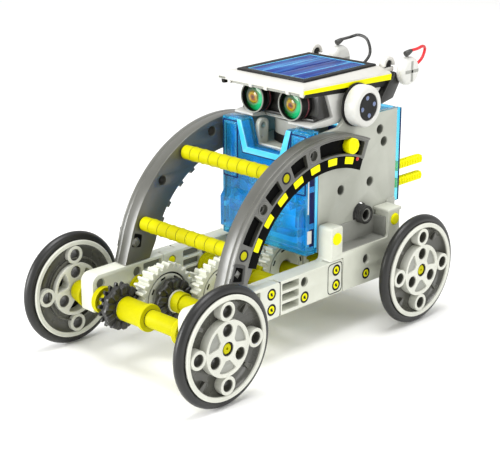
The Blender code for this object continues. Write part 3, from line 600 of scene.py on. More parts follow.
# EDGE_SHADE_NAVY: painted shade, the dark lines along the clear covers' edges.
EDGE_SHADE_NAVY = moulded("navy_edge_shade", "clear_blue", "#04104C", "#020A34", "#1C3C94", 0.45, 0.02, 0.0, 0.15)
# PALE_BLUE: the solar panel's pale lines, and painted highlight along the clear front cover's edges.
PALE_BLUE = moulded("pale_blue", "clear_blue", "#58D4FF", "#38B8FA", "#A8ECFF", 0.25, 0.02, 0.2)
# BACKING: painted light, a pale sheet behind the clear front cover's works.
BACKING = moulded("cover_backing_painted_light", "clear_blue", "#A8E8FF", "#84D4F8", "#D8F6FF", 0.4, 0.03, 0.0, 0.2)
BLUE = clear_blue()
WORKS = blue_works()
TYRE = rubber()
CELL = solar_cell()
STEEL = brushed_steel()


# ---------------------------------------------------------------- camera
CAMERA_AT = Vector((378.5, -392.0, 228.0)) * MM
CAMERA_TURN = math.radians(44.187)
CAMERA_RISE = math.radians(18.249)
CAMERA_LENS = 94.41


def make_camera():
    """The photo's viewpoint."""
    data = bpy.data.cameras.new("camera")
    data.lens = CAMERA_LENS
    data.clip_start = 0.01
    camera = linked("camera", data)
    level = math.cos(CAMERA_RISE)
    back = Vector((math.sin(CAMERA_TURN) * level, -math.cos(CAMERA_TURN) * level, math.sin(CAMERA_RISE)))
    right = Vector((math.cos(CAMERA_TURN), math.sin(CAMERA_TURN), 0))
    turn = Matrix((right, back.cross(right), back)).transposed()
    camera.matrix_world = Matrix.Translation(CAMERA_AT) @ turn.to_4x4()
    bpy.context.scene.camera = camera


# ---------------------------------------------------------------- leads
LEAD_D = 1.4
BOOT_LENGTH = 3.6
BOOT_LEAN = Vector((0.12, 0.93, 0.34)).normalized()
LEAD_GAP = 0.3
RED_ROUTE = ((27.8, 80.3, 119.6), (27.6, 84.2, 120.2), (27.2, 86.6, 119.0), (26.4, 87.1, 116.3),
             (25.4, 86.4, 113.5), (24.2, 84.0, 111.2), (23.2, 79.0, 108.4), (22.8, 73.0, 106.8))
BLACK_ROUTE = ((-10.4, 79.5, 120.2), (-7.0, 81.0, 121.4), (-2.8, 81.5, 120.4), (-0.2, 81.0, 117.4),
               (1.5, 79.5, 114.4), (2.0, 77.5, 112.3), (1.4, 74.8, 109.9), (0.8, 72.5, 108.2))


def boot_base(side):
    """The middle of the boot's wide end, just clear of its terminal's rim."""
    low = reach(f"{side}_terminal", X)[0]
    return Vector((low + 2.1, middle(f"{side}_terminal", Y) - 2.6, middle(f"{side}_terminal", Z) + 7.8))


def smooth_route(points, spacing):
    """Evenly spaced points on a smooth curve through the route's own points."""
    knots = [2 * points[0] - points[1], *points, 2 * points[-1] - points[-2]]
    dense = []
    for before, start, end, after in zip(knots, knots[1:], knots[2:], knots[3:]):
        for k in range(24):
            t = k / 24
            pull = (end - before) * t
            bend = (2 * before - 5 * start + 4 * end - after) * t**2
            turn = (3 * start - before - 3 * end + after) * t**3
            dense.append(0.5 * (2 * start + pull + bend + turn))
    dense.append(points[-1])
    length = sum((b - a).length for a, b in zip(dense, dense[1:]))
    count = round(length / spacing)
    result, walked, wanted = [dense[0]], 0.0, length / count
    for a, b in zip(dense, dense[1:]):
        step = (b - a).length
        while wanted <= walked + step and len(result) < count:
            result.append(a.lerp(b, (wanted - walked) / step))
            wanted += length / count
        walked += step
    return result + [dense[-1]]


def make_lead(name, side, route, look):
    """A thin lead that leaves its boot, rises in a loop and goes back into the rear arm."""
    start = boot_base(side) + BOOT_LEAN * (BOOT_LENGTH + LEAD_GAP)
    line = smooth_route([start] + [Vector(knot) for knot in route], LEAD_D)
    curve = bpy.data.curves.new(name, "CURVE")
    curve.dimensions = "3D"
    curve.bevel_depth = LEAD_D / 2 * MM
    curve.bevel_resolution = 5
    curve.use_fill_caps = True
    spline = curve.splines.new("POLY")
    spline.points.add(len(line) - 1)
    for point, position in zip(spline.points, line):
        point.co = (*(position * MM + Vector((0, KIT_Y, 0))), 1)
    item = dress(linked(name, curve), look, "head", (name.replace("lead", "wire"),))


# ---------------------------------------------------------------- wheels
RIM_R = 21.6
BOSS_RING_R = 15.5
BOSS_R = 3.95
BOSS_HOLE_R = 2.6
DISC_R = 11.7
DISC_HOLES_R = 7.73
DISC_HOLE_R = 2.7
DISC_HOLES = (90, 210, 330)
DISC_WINDOWS = (30, 150, 270)
HUB_FACE = 3.4
TYRE_DEPTH = 2.3
TYRE_HALF = 2.27
TYRE_LINE = 0.07
TYRE_STEPS = 36


def tyre_shape():
    """A round ring with a fine line moulded on each side of it."""
    profile = []
    for k in range(TYRE_STEPS):
        angle = TAU * k / TYRE_STEPS
        sunk = TYRE_LINE if k in (3, TYRE_STEPS - 3) else 0.0
        radius = WHEEL_R - TYRE_DEPTH + (TYRE_DEPTH - sunk) * math.cos(angle)
        profile.append((radius, (TYRE_HALF - sunk) * math.sin(angle)))
    return lathe(profile, 96, closed=True)


def window_loop(centre):
    """A three-sided window of the hub disc, between two of its holes."""
    outer = arc(0, 0, 10.1, centre - 27, centre + 27, 10)
    inner = arc(0, 0, 4.9, centre + 12, centre - 12, 3)
    return rounded(outer + inner, 0.5, 1)


def wheel_shapes():
    """One wheel's shapes about its own centre, outer face towards +X, by look."""
    face = HUB_FACE - 0.1
    seat = 1.95
    rim = [(19.6, face - 0.3), (19.9, face), (RIM_R - 0.3, face), (RIM_R, face - 0.3), (RIM_R, 2.5),
           (20.6, seat)]
    rim_ring = lathe(rim + [(r, -x) for r, x in rim[::-1]], 96, closed=True)
    # The bowl between the hub and the rim, in painted shade.
    shaded_dish = lathe([(19.7, 2.7), (19.2, 1.3), (18.2, 0.3), (16.6, -0.3), (DISC_R - 0.4, -0.5),
                  (DISC_R - 0.4, -1.5), (16.6, -1.3), (18.4, -1.5), (19.7, -2.6)], 96, closed=True)
    quarters = range(0, 360, 90)
    bosses = [polar(0, 0, BOSS_RING_R, degrees) for degrees in quarters]
    sockets = [polar(0, 0, DISC_HOLES_R, degrees) for degrees in DISC_HOLES]
    shaded_dish = carved(shaded_dish, *at_places(bosses, tube(0, BOSS_R - 0.4, -6, 6)))
    windows = [window_loop(degrees) for degrees in DISC_WINDOWS]
    holes = [circle(*place, DISC_HOLE_R) for place in sockets]
    disc = plate([circle(0, 0, DISC_R, 72), circle(0, 0, 2.95)] + holes + windows, -HUB_FACE + 0.1, face)
    lips = [tube(DISC_R - 0.8, DISC_R - 0.05, face - 0.2, HUB_FACE, 0.1, 72),
            tube(3.0, 3.8, face - 0.2, HUB_FACE, 0.1)]
    lips += at_places(sockets, tube(DISC_HOLE_R, DISC_HOLE_R + 0.75, face - 0.2, HUB_FACE, 0.1))
    tubes = at_places(bosses, tube(BOSS_HOLE_R, BOSS_R, -HUB_FACE, HUB_FACE))
    bridge = block((-2.4, DISC_R - 0.5, -1.1), (2.2, BOSS_RING_R - BOSS_R + 0.6, 1.1))
    bridges = fanned(bridge, quarters)
    # Painted shade: a grey sheet, with a black sheet behind it, fills the disc's windows, where the wheel is
    # dark inside.
    web = [circle(0, 0, DISC_R - 1, 48), circle(0, 0, 3.4)]
    web += [circle(*place, DISC_HOLE_R + 0.3) for place in sockets]
    wedge = plate([[(15.2, -0.5), (19.5, -1.3), (19.5, 1.3), (15.2, 0.5)]], -0.6, 1.5)
    wedges = fanned(wedge, [quarter + 48 for quarter in quarters])
    inner_rib = tube(13.6, 14.3, -2.9, -1.2, 0.2, 72)
    bush = tube(2.35, 3.0, -HUB_FACE, face - 0.2, 0.15)
    # Painted shade: dark linings inside the bosses and the disc's holes.
    liner = tube(BOSS_HOLE_R - 0.25, BOSS_HOLE_R + 0.02, 0.3 - face, face - 0.3, 0.05)
    return {
        "frame": (HUB, [rim_ring, disc, *lips, *tubes, *bridges]),
        "shaded_dish": (DISH_SHADE, [shaded_dish, inner_rib, *wedges]),
        "windows": (GREY, [plate(web, 1.9, 2.5)]),
        "pockets": (BLACK, [plate(web, 1.2, 1.8)]),
        "bush": (BLACK, [bush]),
        "liners": (DISH_SHADE, at_places(bosses + sockets, liner)),
        "ring": (TYRE, [tyre_shape()]),
    }


def make_wheels():
    """Four wheels, each on the body of its axle."""
    shapes = wheel_shapes()
    for end, body in (("front", "front_axle_set"), ("rear", "rear_axle_set")):
        for side, sign in (("left", 1), ("right", -1)):
            place = (sign * WHEEL_X, AXIS_Y[body], AXLE_Z)
            stands = {"frame": (f"{end}_{side}_hub",), "ring": (f"{end}_{side}_tyre",)}
            for part, (look, items) in shapes.items():
                placed = [moved(item, place) for item in sided(items, sign)]
                piece(f"{end}_{side}_wheel_{part}", placed, look, body, stands.get(part, ()))


# ---------------------------------------------------------------- gears
GEAR_MODULE = 1.02
PRESSURE = math.radians(25)
ADDENDUM = 0.8 * GEAR_MODULE
DEDENDUM = 1.05 * GEAR_MODULE
BACKLASH = 0.07
SHAFT_R = 3.75
PEG_R = 1.75
PLANE_A = (-17.0, -12.5)
PLANE_B = (-11.5, -7.0)
PLANE_C = (0.5, 5.0)
PLANE_D = (-4.5, 0.0)
OUTPUT_Y = middle("output_hub", Y)
OUTPUT_Z = middle("output_hub", Z)
MOTOR_Z = OUTPUT_Z + PITCH


def involute(angle):
    return math.tan(angle) - angle


def gear_loop(teeth, phase):
    """An involute gear's outline with a tooth centred on the phase angle."""
    pitch_r = teeth * GEAR_MODULE / 2
    base_r = pitch_r * math.cos(PRESSURE)
    root_r = pitch_r - DEDENDUM
    tip_r = pitch_r + ADDENDUM
    half_tooth = math.pi / (2 * teeth) * (1 - BACKLASH)

    def half_width(radius):
        slope = math.acos(min(1.0, base_r / max(radius, base_r)))
        return half_tooth + involute(PRESSURE) - involute(slope)

    radii = [root_r + (tip_r - root_r) * k / 3 for k in range(4)]
    loop = []
    for k in range(teeth):
        centre = phase + TAU * k / teeth
        flank = [(r, centre - half_width(r)) for r in radii]
        flank += [(r, centre + half_width(r)) for r in reversed(radii)]
        loop += [(r * math.cos(a), r * math.sin(a)) for r, a in flank]
    return loop


def meshing_phase(phase, teeth, direction, other_teeth):
    """The phase of a gear in mesh with one that lies in the other direction from it."""
    offset = ((direction - phase) * teeth / TAU) % 1
    return direction + math.pi + (offset + 0.5) * TAU / other_teeth


FORWARD = math.pi
TO_OUTPUT = math.atan2(OUTPUT_Z - AXLE_Z, OUTPUT_Y - 2 * PITCH)
PHASE_E22 = meshing_phase(0.0, 18, FORWARD, 22)
PHASE_D12 = meshing_phase(0.0, 28, FORWARD, 12)
PHASE_C12 = meshing_phase(0.0, 28, FORWARD, 12)
PHASE_B28 = meshing_phase(PHASE_C12, 12, FORWARD, 28)
PHASE_A28 = meshing_phase(0.0, 12, FORWARD, 28)
PHASE_FRONT = meshing_phase(0.0, 22, FORWARD, 18)
PHASE_OUT22 = meshing_phase(0.0, 28, TO_OUTPUT, 22)
PHASE_MOTOR = meshing_phase(0.0, 28, math.pi / 2, 12)


def gear(teeth, phase, plane, bore):
    """A spur gear between two places along its shaft."""
    return plate([gear_loop(teeth, phase), circle(0, 0, bore)], *plane, rim=0.12)


def toothed_disc(phase, plane):
    """A large spur gear whose near face has a sunk black ring inside its toothed edge."""
    low, high = plane
    ring = plate([gear_loop(28, phase), circle(0, 0, 11.4, 64)], low, high, rim=0.12)
    web = tube(SHAFT_R + 0.2, 11.6, low + 0.3, high - 1.0, 0.15, 72)
    inner = tube(8.4, 10.6, high - 1.2, high - 0.1, 0.2, 72)
    return [ring, web, inner]


def painted_groove_shade(plane):
    """Painted shade: a black fill in the groove between a large gear's edge and its inner ring, and black
    marks for the slots in that ring.
    """
    high = plane[1]
    groove = tube(10.6, 11.4, high - 1.0, high - 0.7, 0.1, 72)
    slot = block((high - 0.5, -1.3, 9.0), (high + 0.02, 1.3, 9.9), 0.15)
    return [groove] + fanned(slot, range(15, 360, 45))


CROWN_TEETH = 10


def crown(span, bore):
    """A dished crown gear: coarse rounded teeth stand on its near face and round its edge."""
    low, high = span
    loop = []
    steps = CROWN_TEETH * 8
    for k in range(steps):
        angle = TAU * k / steps
        radius = 9.35 + 0.5 * math.cos(CROWN_TEETH * angle)
        loop.append((radius * math.cos(angle), radius * math.sin(angle)))
    body = plate([loop, circle(0, 0, bore)], low + 1.6, high - 1.0, rim=0.5)
    back = lathe(eased([(bore, low), (6.4, low), (9.2, low + 1.9), (8.6, low + 2.2), (bore, low + 2.2)]), 48)
    hub = tube(bore, 5.6, high - 1.4, high - 0.2, 0.3)
    tooth = block((high - 1.6, -1.5, 5.4), (high, 1.5, 9.6), 0.8, 3)
    return [body, back, hub, *fanned(tooth, [360 * k / CROWN_TEETH for k in range(CROWN_TEETH)])]


def shaft(sections):
    """A stepped solid shaft from (radius, low, high) sections, lowest first."""
    outline = [(0, sections[-1][2])]
    for radius, low, high in reversed(sections):
        outline += [(radius, high), (radius, low)]
    outline.append((0, sections[0][1]))
    return lathe(eased(outline), 40)


def at_axis(shapes, body):
    """The shapes moved to a body's turning axis."""
    place = (0, AXIS_Y[body], AXLE_Z)
    return [moved(shape, place) for shape in shapes]


def axle_tip(sign):
    """The pin that shows in the middle of a wheel, with its small centre hole."""
    end = WHEEL_X + HUB_FACE - 0.5
    outline = [(0, end - 1.4), (0.55, end - 1.2), (0.6, end), (1.9, end), (2.3, end - 0.4), (2.3, end - 6.0),
               (0, end - 6.0)]
    return mirrored(lathe(outline, 32), sign)


def make_axles():
    """Both axles with their collars, sleeves and gears."""
    inner = FRAME_IN - 0.3
    outer = FRAME_OUT + 0.3
    hub = WHEEL_X - HUB_FACE - 0.1
    for body, node in (("front_axle_set", "front_axle"), ("rear_axle_set", "rear_axle")):
        shapes = [axle_tip(1), axle_tip(-1), shaft([(PEG_R, -hub - 4, hub + 4)])]
        domes = []
        for sign in (1, -1):
            dome = [(0, hub), (3.4, hub), (4.5, hub - 1.4), (5.0, hub - 3.4), (5.1, outer + 2.0),
                    (5.9, outer + 1.6), (5.9, outer), (0, outer)]
            domes.append(mirrored(lathe(eased(dome, 0.5), 48), sign))
            shapes.append(mirrored(shaft([(SHAFT_R, 23.0, inner), (5.9, 23.2, inner)]), sign))
        if node == "front_axle":
            shapes += domes
            shapes.append(shaft([(5.1, -inner, -24.8), (SHAFT_R, -24.8, -11.0), (5.2, -10.6, 3.0),
                                 (5.9, 3.0, 5.0), (SHAFT_R, 5.0, inner)]))
        else:
            shapes.append(shaft([(SHAFT_R, -inner, inner)]))
            piece("rear_axle_bushes", at_axis(domes, body), DARK, body)
        piece(node + "_shaft", at_axis(shapes, body), YELLOW, body, (node,))
    ring = tube(SHAFT_R, 4.9, -11.0, -10.4, 0.2)
    piece("front_sleeve_ring", at_axis([ring], "front_axle_set"), LIGHT, "front_axle_set")
    groove = tube(SHAFT_R, SHAFT_R + 0.12, 5.05, 5.35, 0.04)
    piece("front_sleeve_line", at_axis([groove], "front_axle_set"), BLACK, "front_axle_set")
    face = crown((PLANE_A[1] - 3.8, PLANE_A[1] + 1.6), SHAFT_R + 0.05)
    teeth = gear(18, PHASE_FRONT, (PLANE_A[0], PLANE_A[1] - 3.3), SHAFT_R + 0.05)
    piece("front_crown", at_axis([teeth, *face], "front_axle_set"), DARK, "front_axle_set",
          ("front_crown_gear",))
    teeth = gear(18, 0.0, PLANE_A, SHAFT_R + 0.05)
    piece("rear_gear", at_axis([teeth, tube(SHAFT_R, 6.0, -17.6, -12.0)], "rear_axle_set"), DARK,
          "rear_axle_set", ("rear_axle_gear",))


def idler_shaft(radius=SHAFT_R):
    """A cross shaft with a collar against each side frame and a pin in its hole."""
    inner = FRAME_IN - 0.3
    tip = FRAME_OUT - 0.4
    return shaft([(PEG_R, -tip, -inner), (5.6, -inner, -24.6), (4.7, -24.6, -23.0), (radius, -23.0, 23.0),
                  (4.7, 23.0, 24.6), (5.6, 24.6, inner), (PEG_R, inner, tip)])


def make_idlers():
    """The five cross shafts and their gears."""
    bore = SHAFT_R + 0.05
    piece("idler_a_rod", at_axis([idler_shaft(), tube(SHAFT_R, 4.6, -1.0, 3.4)], "idler_a"), YELLOW,
          "idler_a", ("idler_a_shaft",))
    driver = gear(22, 0.0, (PLANE_A[0], PLANE_B[0] + 0.1), bore)
    piece("idler_a_wheel", at_axis([*toothed_disc(PHASE_A28, PLANE_B), driver], "idler_a"), LIGHT, "idler_a",
          ("idler_a_gear",))
    piece("idler_a_groove", at_axis(painted_groove_shade(PLANE_B), "idler_a"), BLACK, "idler_a")
    piece("idler_a_face", at_axis(crown((-6.8, -1.5), bore), "idler_a"), DARK, "idler_a", ("idler_a_crown",))
    piece("idler_a_ring", at_axis([tube(SHAFT_R, 5.0, -1.6, -0.9, 0.2)], "idler_a"), LIGHT, "idler_a")
    for body, large, small in (("idler_b", PHASE_B28, 0.0), ("idler_d", 0.0, PHASE_D12)):
        pinion = gear(12, small, PLANE_B, 3.0)
        neck = tube(3.0, 4.7, PLANE_B[1], PLANE_C[0] + 0.4)
        shapes = [*toothed_disc(large, PLANE_C), pinion, neck]
        piece(body + "_wheel", at_axis(shapes, body), LIGHT, body, (body + "_gear",))
        piece(body + "_groove", at_axis(painted_groove_shade(PLANE_C), body), BLACK, body)
        piece(body + "_rod", at_axis([idler_shaft(3.2)], body), YELLOW, body)
    piece("idler_c_rod", at_axis([idler_shaft(), gear(12, PHASE_C12, PLANE_C, 3.0),
                                  tube(SHAFT_R, 5.0, 5.6, 15.0)], "idler_c"), YELLOW, "idler_c",
          ("idler_c_pinion",))
    shapes = [*toothed_disc(0.0, PLANE_B), gear(22, PHASE_E22, PLANE_A, bore)]
    piece("idler_e_wheel", at_axis(shapes, "idler_e"), LIGHT, "idler_e", ("idler_e_gear",))
    piece("idler_e_groove", at_axis(painted_groove_shade(PLANE_B), "idler_e"), BLACK, "idler_e")
    piece("idler_e_rod", at_axis([idler_shaft()], "idler_e"), YELLOW, "idler_e")


# ---------------------------------------------------------------- side frames
HOLE_R = 2.2
LAP_HALF = 5.2
RAIL_LOW = 20.8
MIDDLE_END = PITCH + LAP_HALF - 0.8
FRONT_SLOTS = (-37.2, -27.0)
MIDDLE_SLOTS = (-13.8, -3.6)
RAIL_PEGS = ((-PITCH, ROWS[0]), (-PITCH, ROWS[1]), (0.0, ROWS[0]), (PITCH, ROWS[0]), (PITCH, ROWS[1]),
             (2 * PITCH, ROWS[0]))
SLOT_HEIGHTS = (22.3, 26.8, 31.3)
SEAM = 0.3


def hole_loops(places, radius=HOLE_R):
    return [circle(y, z, radius, 24) for y, z in places]


def slot_loops(start, end):
    return [rounded(rectangle(start, low, end, low + 3.2), 0.35, 1) for low in SLOT_HEIGHTS]


def collars(places):
    """Thin raised rings round holes on the left frame's outer face."""
    return at_places(places, tube(HOLE_R, HOLE_R + 0.9, FRAME_OUT - 0.4, FRAME_OUT + 0.15, 0.12, 28))


def make_recesses(name, holes, slots, sign):
    """Shaded liners in open holes and shaded floors in the slots."""
    low = FRAME_IN + 1.2
    high = FRAME_OUT - 1.2
    liner = tube(HOLE_R - 0.25, HOLE_R + 0.03, low, high, 0.05, 28)
    plug = tube(0, HOLE_R - 0.1, low, low + 1.4, 0.1, 28)
    shapes = at_places(holes, liner, plug)
    for start, end in slots:
        first = (low + 0.6, start - 0.2, SLOT_HEIGHTS[0] - 0.2)
        shapes.append(block(first, (low + 1.6, end + 0.2, SLOT_HEIGHTS[-1] + 3.4), 0.2))
    piece(name, sided(shapes, sign), SHADE, "chassis")


def make_pegs(name, places, sign):
    """Yellow pegs, each sunk in a black ring of painted shade, with a black bar of painted shade for the
    slot in its head.
    """
    face = FRAME_OUT
    start = FRAME_IN + 0.2
    outline = [(0, face - 0.45), (0.75, face - 0.45), (0.9, face + 0.1), (1.45, face + 0.2),
               (1.8, face - 0.15), (1.8, start), (0, start)]
    head = lathe(eased(outline, 0.15), 24)
    # Painted shade: a black ring for the gap round each peg and a black bar for its slot.
    gap_shade = tube(1.75, HOLE_R + 0.4, face - 1.5, face + 0.05, 0.06, 28)
    slot = block((face - 0.5, -0.28, -1.5), (face + 0.12, 0.28, 1.5), 0.05)
    gap_shades = at_places(places, *[moved(shape, turn=(35, "X")) for shape in (gap_shade, slot)])
    piece(name + "_pegs", sided(at_places(places, head), sign), LIT_YELLOW, "chassis")
    piece(name + "_peg_shade_rings", sided(gap_shades, sign), BLACK, "chassis")


def make_front_beam(side, sign):
    """The rail from the front axle to the first lap, with its slots and holes."""
    lap = -PITCH
    nose = -AXLE_Y - 4.6
    end = lap + LAP_HALF
    outline = rounded([(nose, 19.6), (end, RAIL_LOW), (end, BEAM_TOP), (nose + 2.4, BEAM_TOP),
                       (nose, BEAM_TOP - 2.4)], 1.4)
    upper = [(y, ROWS[1]) for y in (-AXLE_Y, -2 * PITCH)]
    holes = [(y, z) for y in (-AXLE_Y, -2 * PITCH, lap) for z in ROWS]
    rail = plate([outline] + hole_loops(holes) + slot_loops(*FRONT_SLOTS), FRAME_IN, FRAME_OUT, rim=0.35)
    rail = carved(rail, block((FRAME_IN - 1, lap - LAP_HALF - SEAM, 10), (FRAME_MID, end + 1, 50), 0))
    rings = collars(upper)
    make_recesses(side + "_front_recesses", upper, [FRONT_SLOTS], sign)
    piece(side + "_front_rail", sided([rail, *rings], sign), LIGHT, "chassis", (side + "_front_beam",))


def make_middle_beam(side, sign):
    """The rail that laps over the front beam's inner half and under the rear bracket's outer half."""
    start = -PITCH - LAP_HALF
    seam = -PITCH + LAP_HALF
    lap = PITCH - LAP_HALF
    outline = rounded(rectangle(start, RAIL_LOW, MIDDLE_END, BEAM_TOP), 1.2)
    holes = [(y, z) for y in (-PITCH, 0.0, PITCH) for z in ROWS]
    rail = plate([outline] + hole_loops(holes) + slot_loops(*MIDDLE_SLOTS), FRAME_IN, FRAME_OUT, rim=0.35)
    rail = carved(rail, block((FRAME_MID - 0.3, start - 2, 10), (FRAME_OUT + 1, seam + SEAM, 50), 0),
                  block((FRAME_IN - 1, lap, 10), (FRAME_MID, MIDDLE_END + 2, 50), 0))
    make_recesses(side + "_mid_recesses", [(0.0, ROWS[1])], [MIDDLE_SLOTS], sign)
    piece(side + "_mid_rail", sided([rail], sign), LIGHT, "chassis", (side + "_mid_beam",))
    edge = [rounded(rectangle(lap - 0.4, RAIL_LOW + 0.6, MIDDLE_END - 0.5, BEAM_TOP - 0.6), 2.2),
            rounded(rectangle(lap, RAIL_LOW + 1.0, MIDDLE_END - 0.9, BEAM_TOP - 1.0), 2.0)]
    groove = plate(edge, FRAME_OUT - 0.1, FRAME_OUT + 0.06, rim=0.02)
    line = block((FRAME_OUT - 1, seam + 0.02, RAIL_LOW + 0.3), (FRAME_OUT - 0.15, seam + SEAM,
                                                                BEAM_TOP - 0.3), 0.05)
    piece(side + "_lap_seams", sided([groove, line], sign), BLACK, "chassis")
    make_pegs(side + "_rail", RAIL_PEGS, sign)


POSTS = ((17.0, 24.3), (55.8, 63.9))
POST_PEG_R = HOLE_R + 0.5
POST_PEG_Z = 46.0
RAIL_TOP = 38.4


def make_rear_bracket(side, sign):
    """The frame's rear end, with its two posts, the pegs in them and the axle's bearing."""
    (front_low, front_high), (rear_low, rear_high) = POSTS
    top = reach(side + "_rear_bracket", Z)[1]
    back = reach(side + "_rear_bracket", Y)[1]
    start = PITCH - LAP_HALF + SEAM
    step = BEAM_TOP + SEAM
    outline = [(start, RAIL_LOW), (back, 20.0), (back, RAIL_TOP), (rear_high, RAIL_TOP), (rear_high, top),
               (rear_low, top), (rear_low, RAIL_TOP), (front_high, RAIL_TOP), (front_high, top),
               (front_low, top), (front_low, step), (start, step)]
    pins = [(PITCH, POST_PEG_Z), (AXLE_Y - 1.2, POST_PEG_Z)]
    holes = [(y, z) for y in (PITCH, 2 * PITCH) for z in ROWS] + pins
    loops = [rounded(outline, 1.4)] + hole_loops(holes) + [circle(AXLE_Y, AXLE_Z, 4.0)]
    bracket = plate(loops, FRAME_IN, FRAME_OUT, rim=0.35)
    bracket = carved(bracket, block((FRAME_MID - 0.3, start - 3, 10),
                                    (FRAME_OUT + 1, MIDDLE_END + SEAM, step), 0))
    cap = plate([rounded(rectangle(rear_low - 0.8, top - 1.6, rear_high + 0.6, top - 0.05), 0.5)],
                FRAME_IN - 0.4, FRAME_OUT + 0.5)
    skirt = plate([rounded(rectangle(front_low + 0.6, RAIL_TOP, front_high - 0.4, 44.0), 0.5)],
                  FRAME_OUT - 0.2, FRAME_OUT + 0.2, rim=0.1)
    bearing = moved(tube(PEG_R + 0.1, 4.2, FRAME_IN + 0.2, FRAME_OUT - 0.2), (0, AXLE_Y, AXLE_Z))
    piece(side + "_bracket", sided([bracket, cap, skirt], sign), LIGHT, "chassis", (side + "_rear_bracket",))
    piece(side + "_rear_bearing", sided([bearing], sign), DARK, "chassis")
    rod = HOLE_R - 0.2
    knob = [(0, FRAME_OUT + 0.9), (POST_PEG_R - 0.5, FRAME_OUT + 0.9), (POST_PEG_R, FRAME_OUT + 0.4),
            (POST_PEG_R, FRAME_OUT - 0.1), (rod, FRAME_OUT - 0.1), (rod, FRAME_IN + 0.2),
            (0, FRAME_IN + 0.2)]
    pegs = at_places(pins, lathe(eased(knob, 0.15), 32))
    piece(side + "_post_pegs", sided(pegs, sign), LIT_YELLOW, "chassis")
    make_recesses(side + "_rear_recesses", [(2 * PITCH, ROWS[1])], [], sign)


# ---------------------------------------------------------------- arches
ARCH_Y, ARCH_Z = 16.4, 29.0
ARCH_OUT_R = 62.9
ARCH_IN_R = 48.3
ARCH_HOLES_R = 58.1
ARCH_TOP = 67.0
ARCH_FOOT = 165.0
ARCH_HOLES = (155.8, 135.8, 119.1, 101.7, 77.9)
POCKET_IN, POCKET_OUT = 54.6, 60.8
POCKETS = ((151.6, 140.0), (131.8, 123.3), (115.0, 105.9), (97.6, 69.3))
FIRST_STRIPE = 77.5
STRIPE_STEP = 12.05
STRIPES = 7
FOOT_BLOCK = ((-44.8, 42.4), (-37.4, 41.0), (-36.2, 48.8), (-42.6, 51.0))
FOOT_PANEL = ((-43.6, 43.6), (-38.6, 42.4), (-37.6, 47.9), (-41.7, 49.5))


def arch_point(degrees, radius=ARCH_HOLES_R):
    return polar(ARCH_Y, ARCH_Z, radius, degrees)


def arch_band(inner, outer, start, end, count):
    return band(ARCH_Y, ARCH_Z, inner, outer, start, end, count)


def make_arch_foot(side, sign):
    """The raised border at an arch's foot. Its recess floors, in painted shade, and its knobs are returned,
    for the arch's own pieces.
    """
    panel = rounded(FOOT_PANEL, 0.6)
    border = plate([rounded(FOOT_BLOCK, 0.6), rounded(FOOT_PANEL, 0.4)], FRAME_OUT - 0.3, FRAME_OUT + 0.7,
                   rim=0.2)
    piece(side + "_arch_foot", [mirrored(border, sign)], BOOT, "chassis")
    foot_shades = [plate([panel], FRAME_OUT - 0.3, FRAME_OUT + 0.05, rim=0.1),
              plate([panel], FRAME_IN - 0.05, FRAME_IN + 0.3, rim=0.1)]
    pyramid = lathe([(0, FRAME_OUT + 0.7), (2.4, FRAME_OUT - 0.2), (0, FRAME_OUT - 0.2)], 4)
    low = FRAME_IN + 0.2
    cone = lathe([(0, FRAME_IN - 1.0), (1.4, FRAME_IN - 0.8), (2.3, low), (0, low)], 24)
    return foot_shades, [moved(pyramid, (0, -40.4, 46.0)), moved(cone, (0, -41.2, 45.3))]


def make_arch_peg(side, sign):
    """The large yellow peg that holds an arch to the gearbox body."""
    head = plate([rounded(circle(0, 0, 3.65, 8), 0.9, 3)], FRAME_OUT - 2.2, FRAME_OUT + 1.6, rim=0.45)
    nick = block((FRAME_OUT + 1.2, 1.25, -1.9), (FRAME_OUT + 1.9, 1.95, 1.9), 0)
    shapes = at_places([arch_point(ARCH_HOLES[-1])], carved(head, nick),
                       shaft([(PEG_R, BODY_OUT + 0.3, FRAME_OUT)]))
    piece(side + "_arch_peg", sided(shapes, sign), LIT_YELLOW, "chassis", (side + "_arch_pin",))


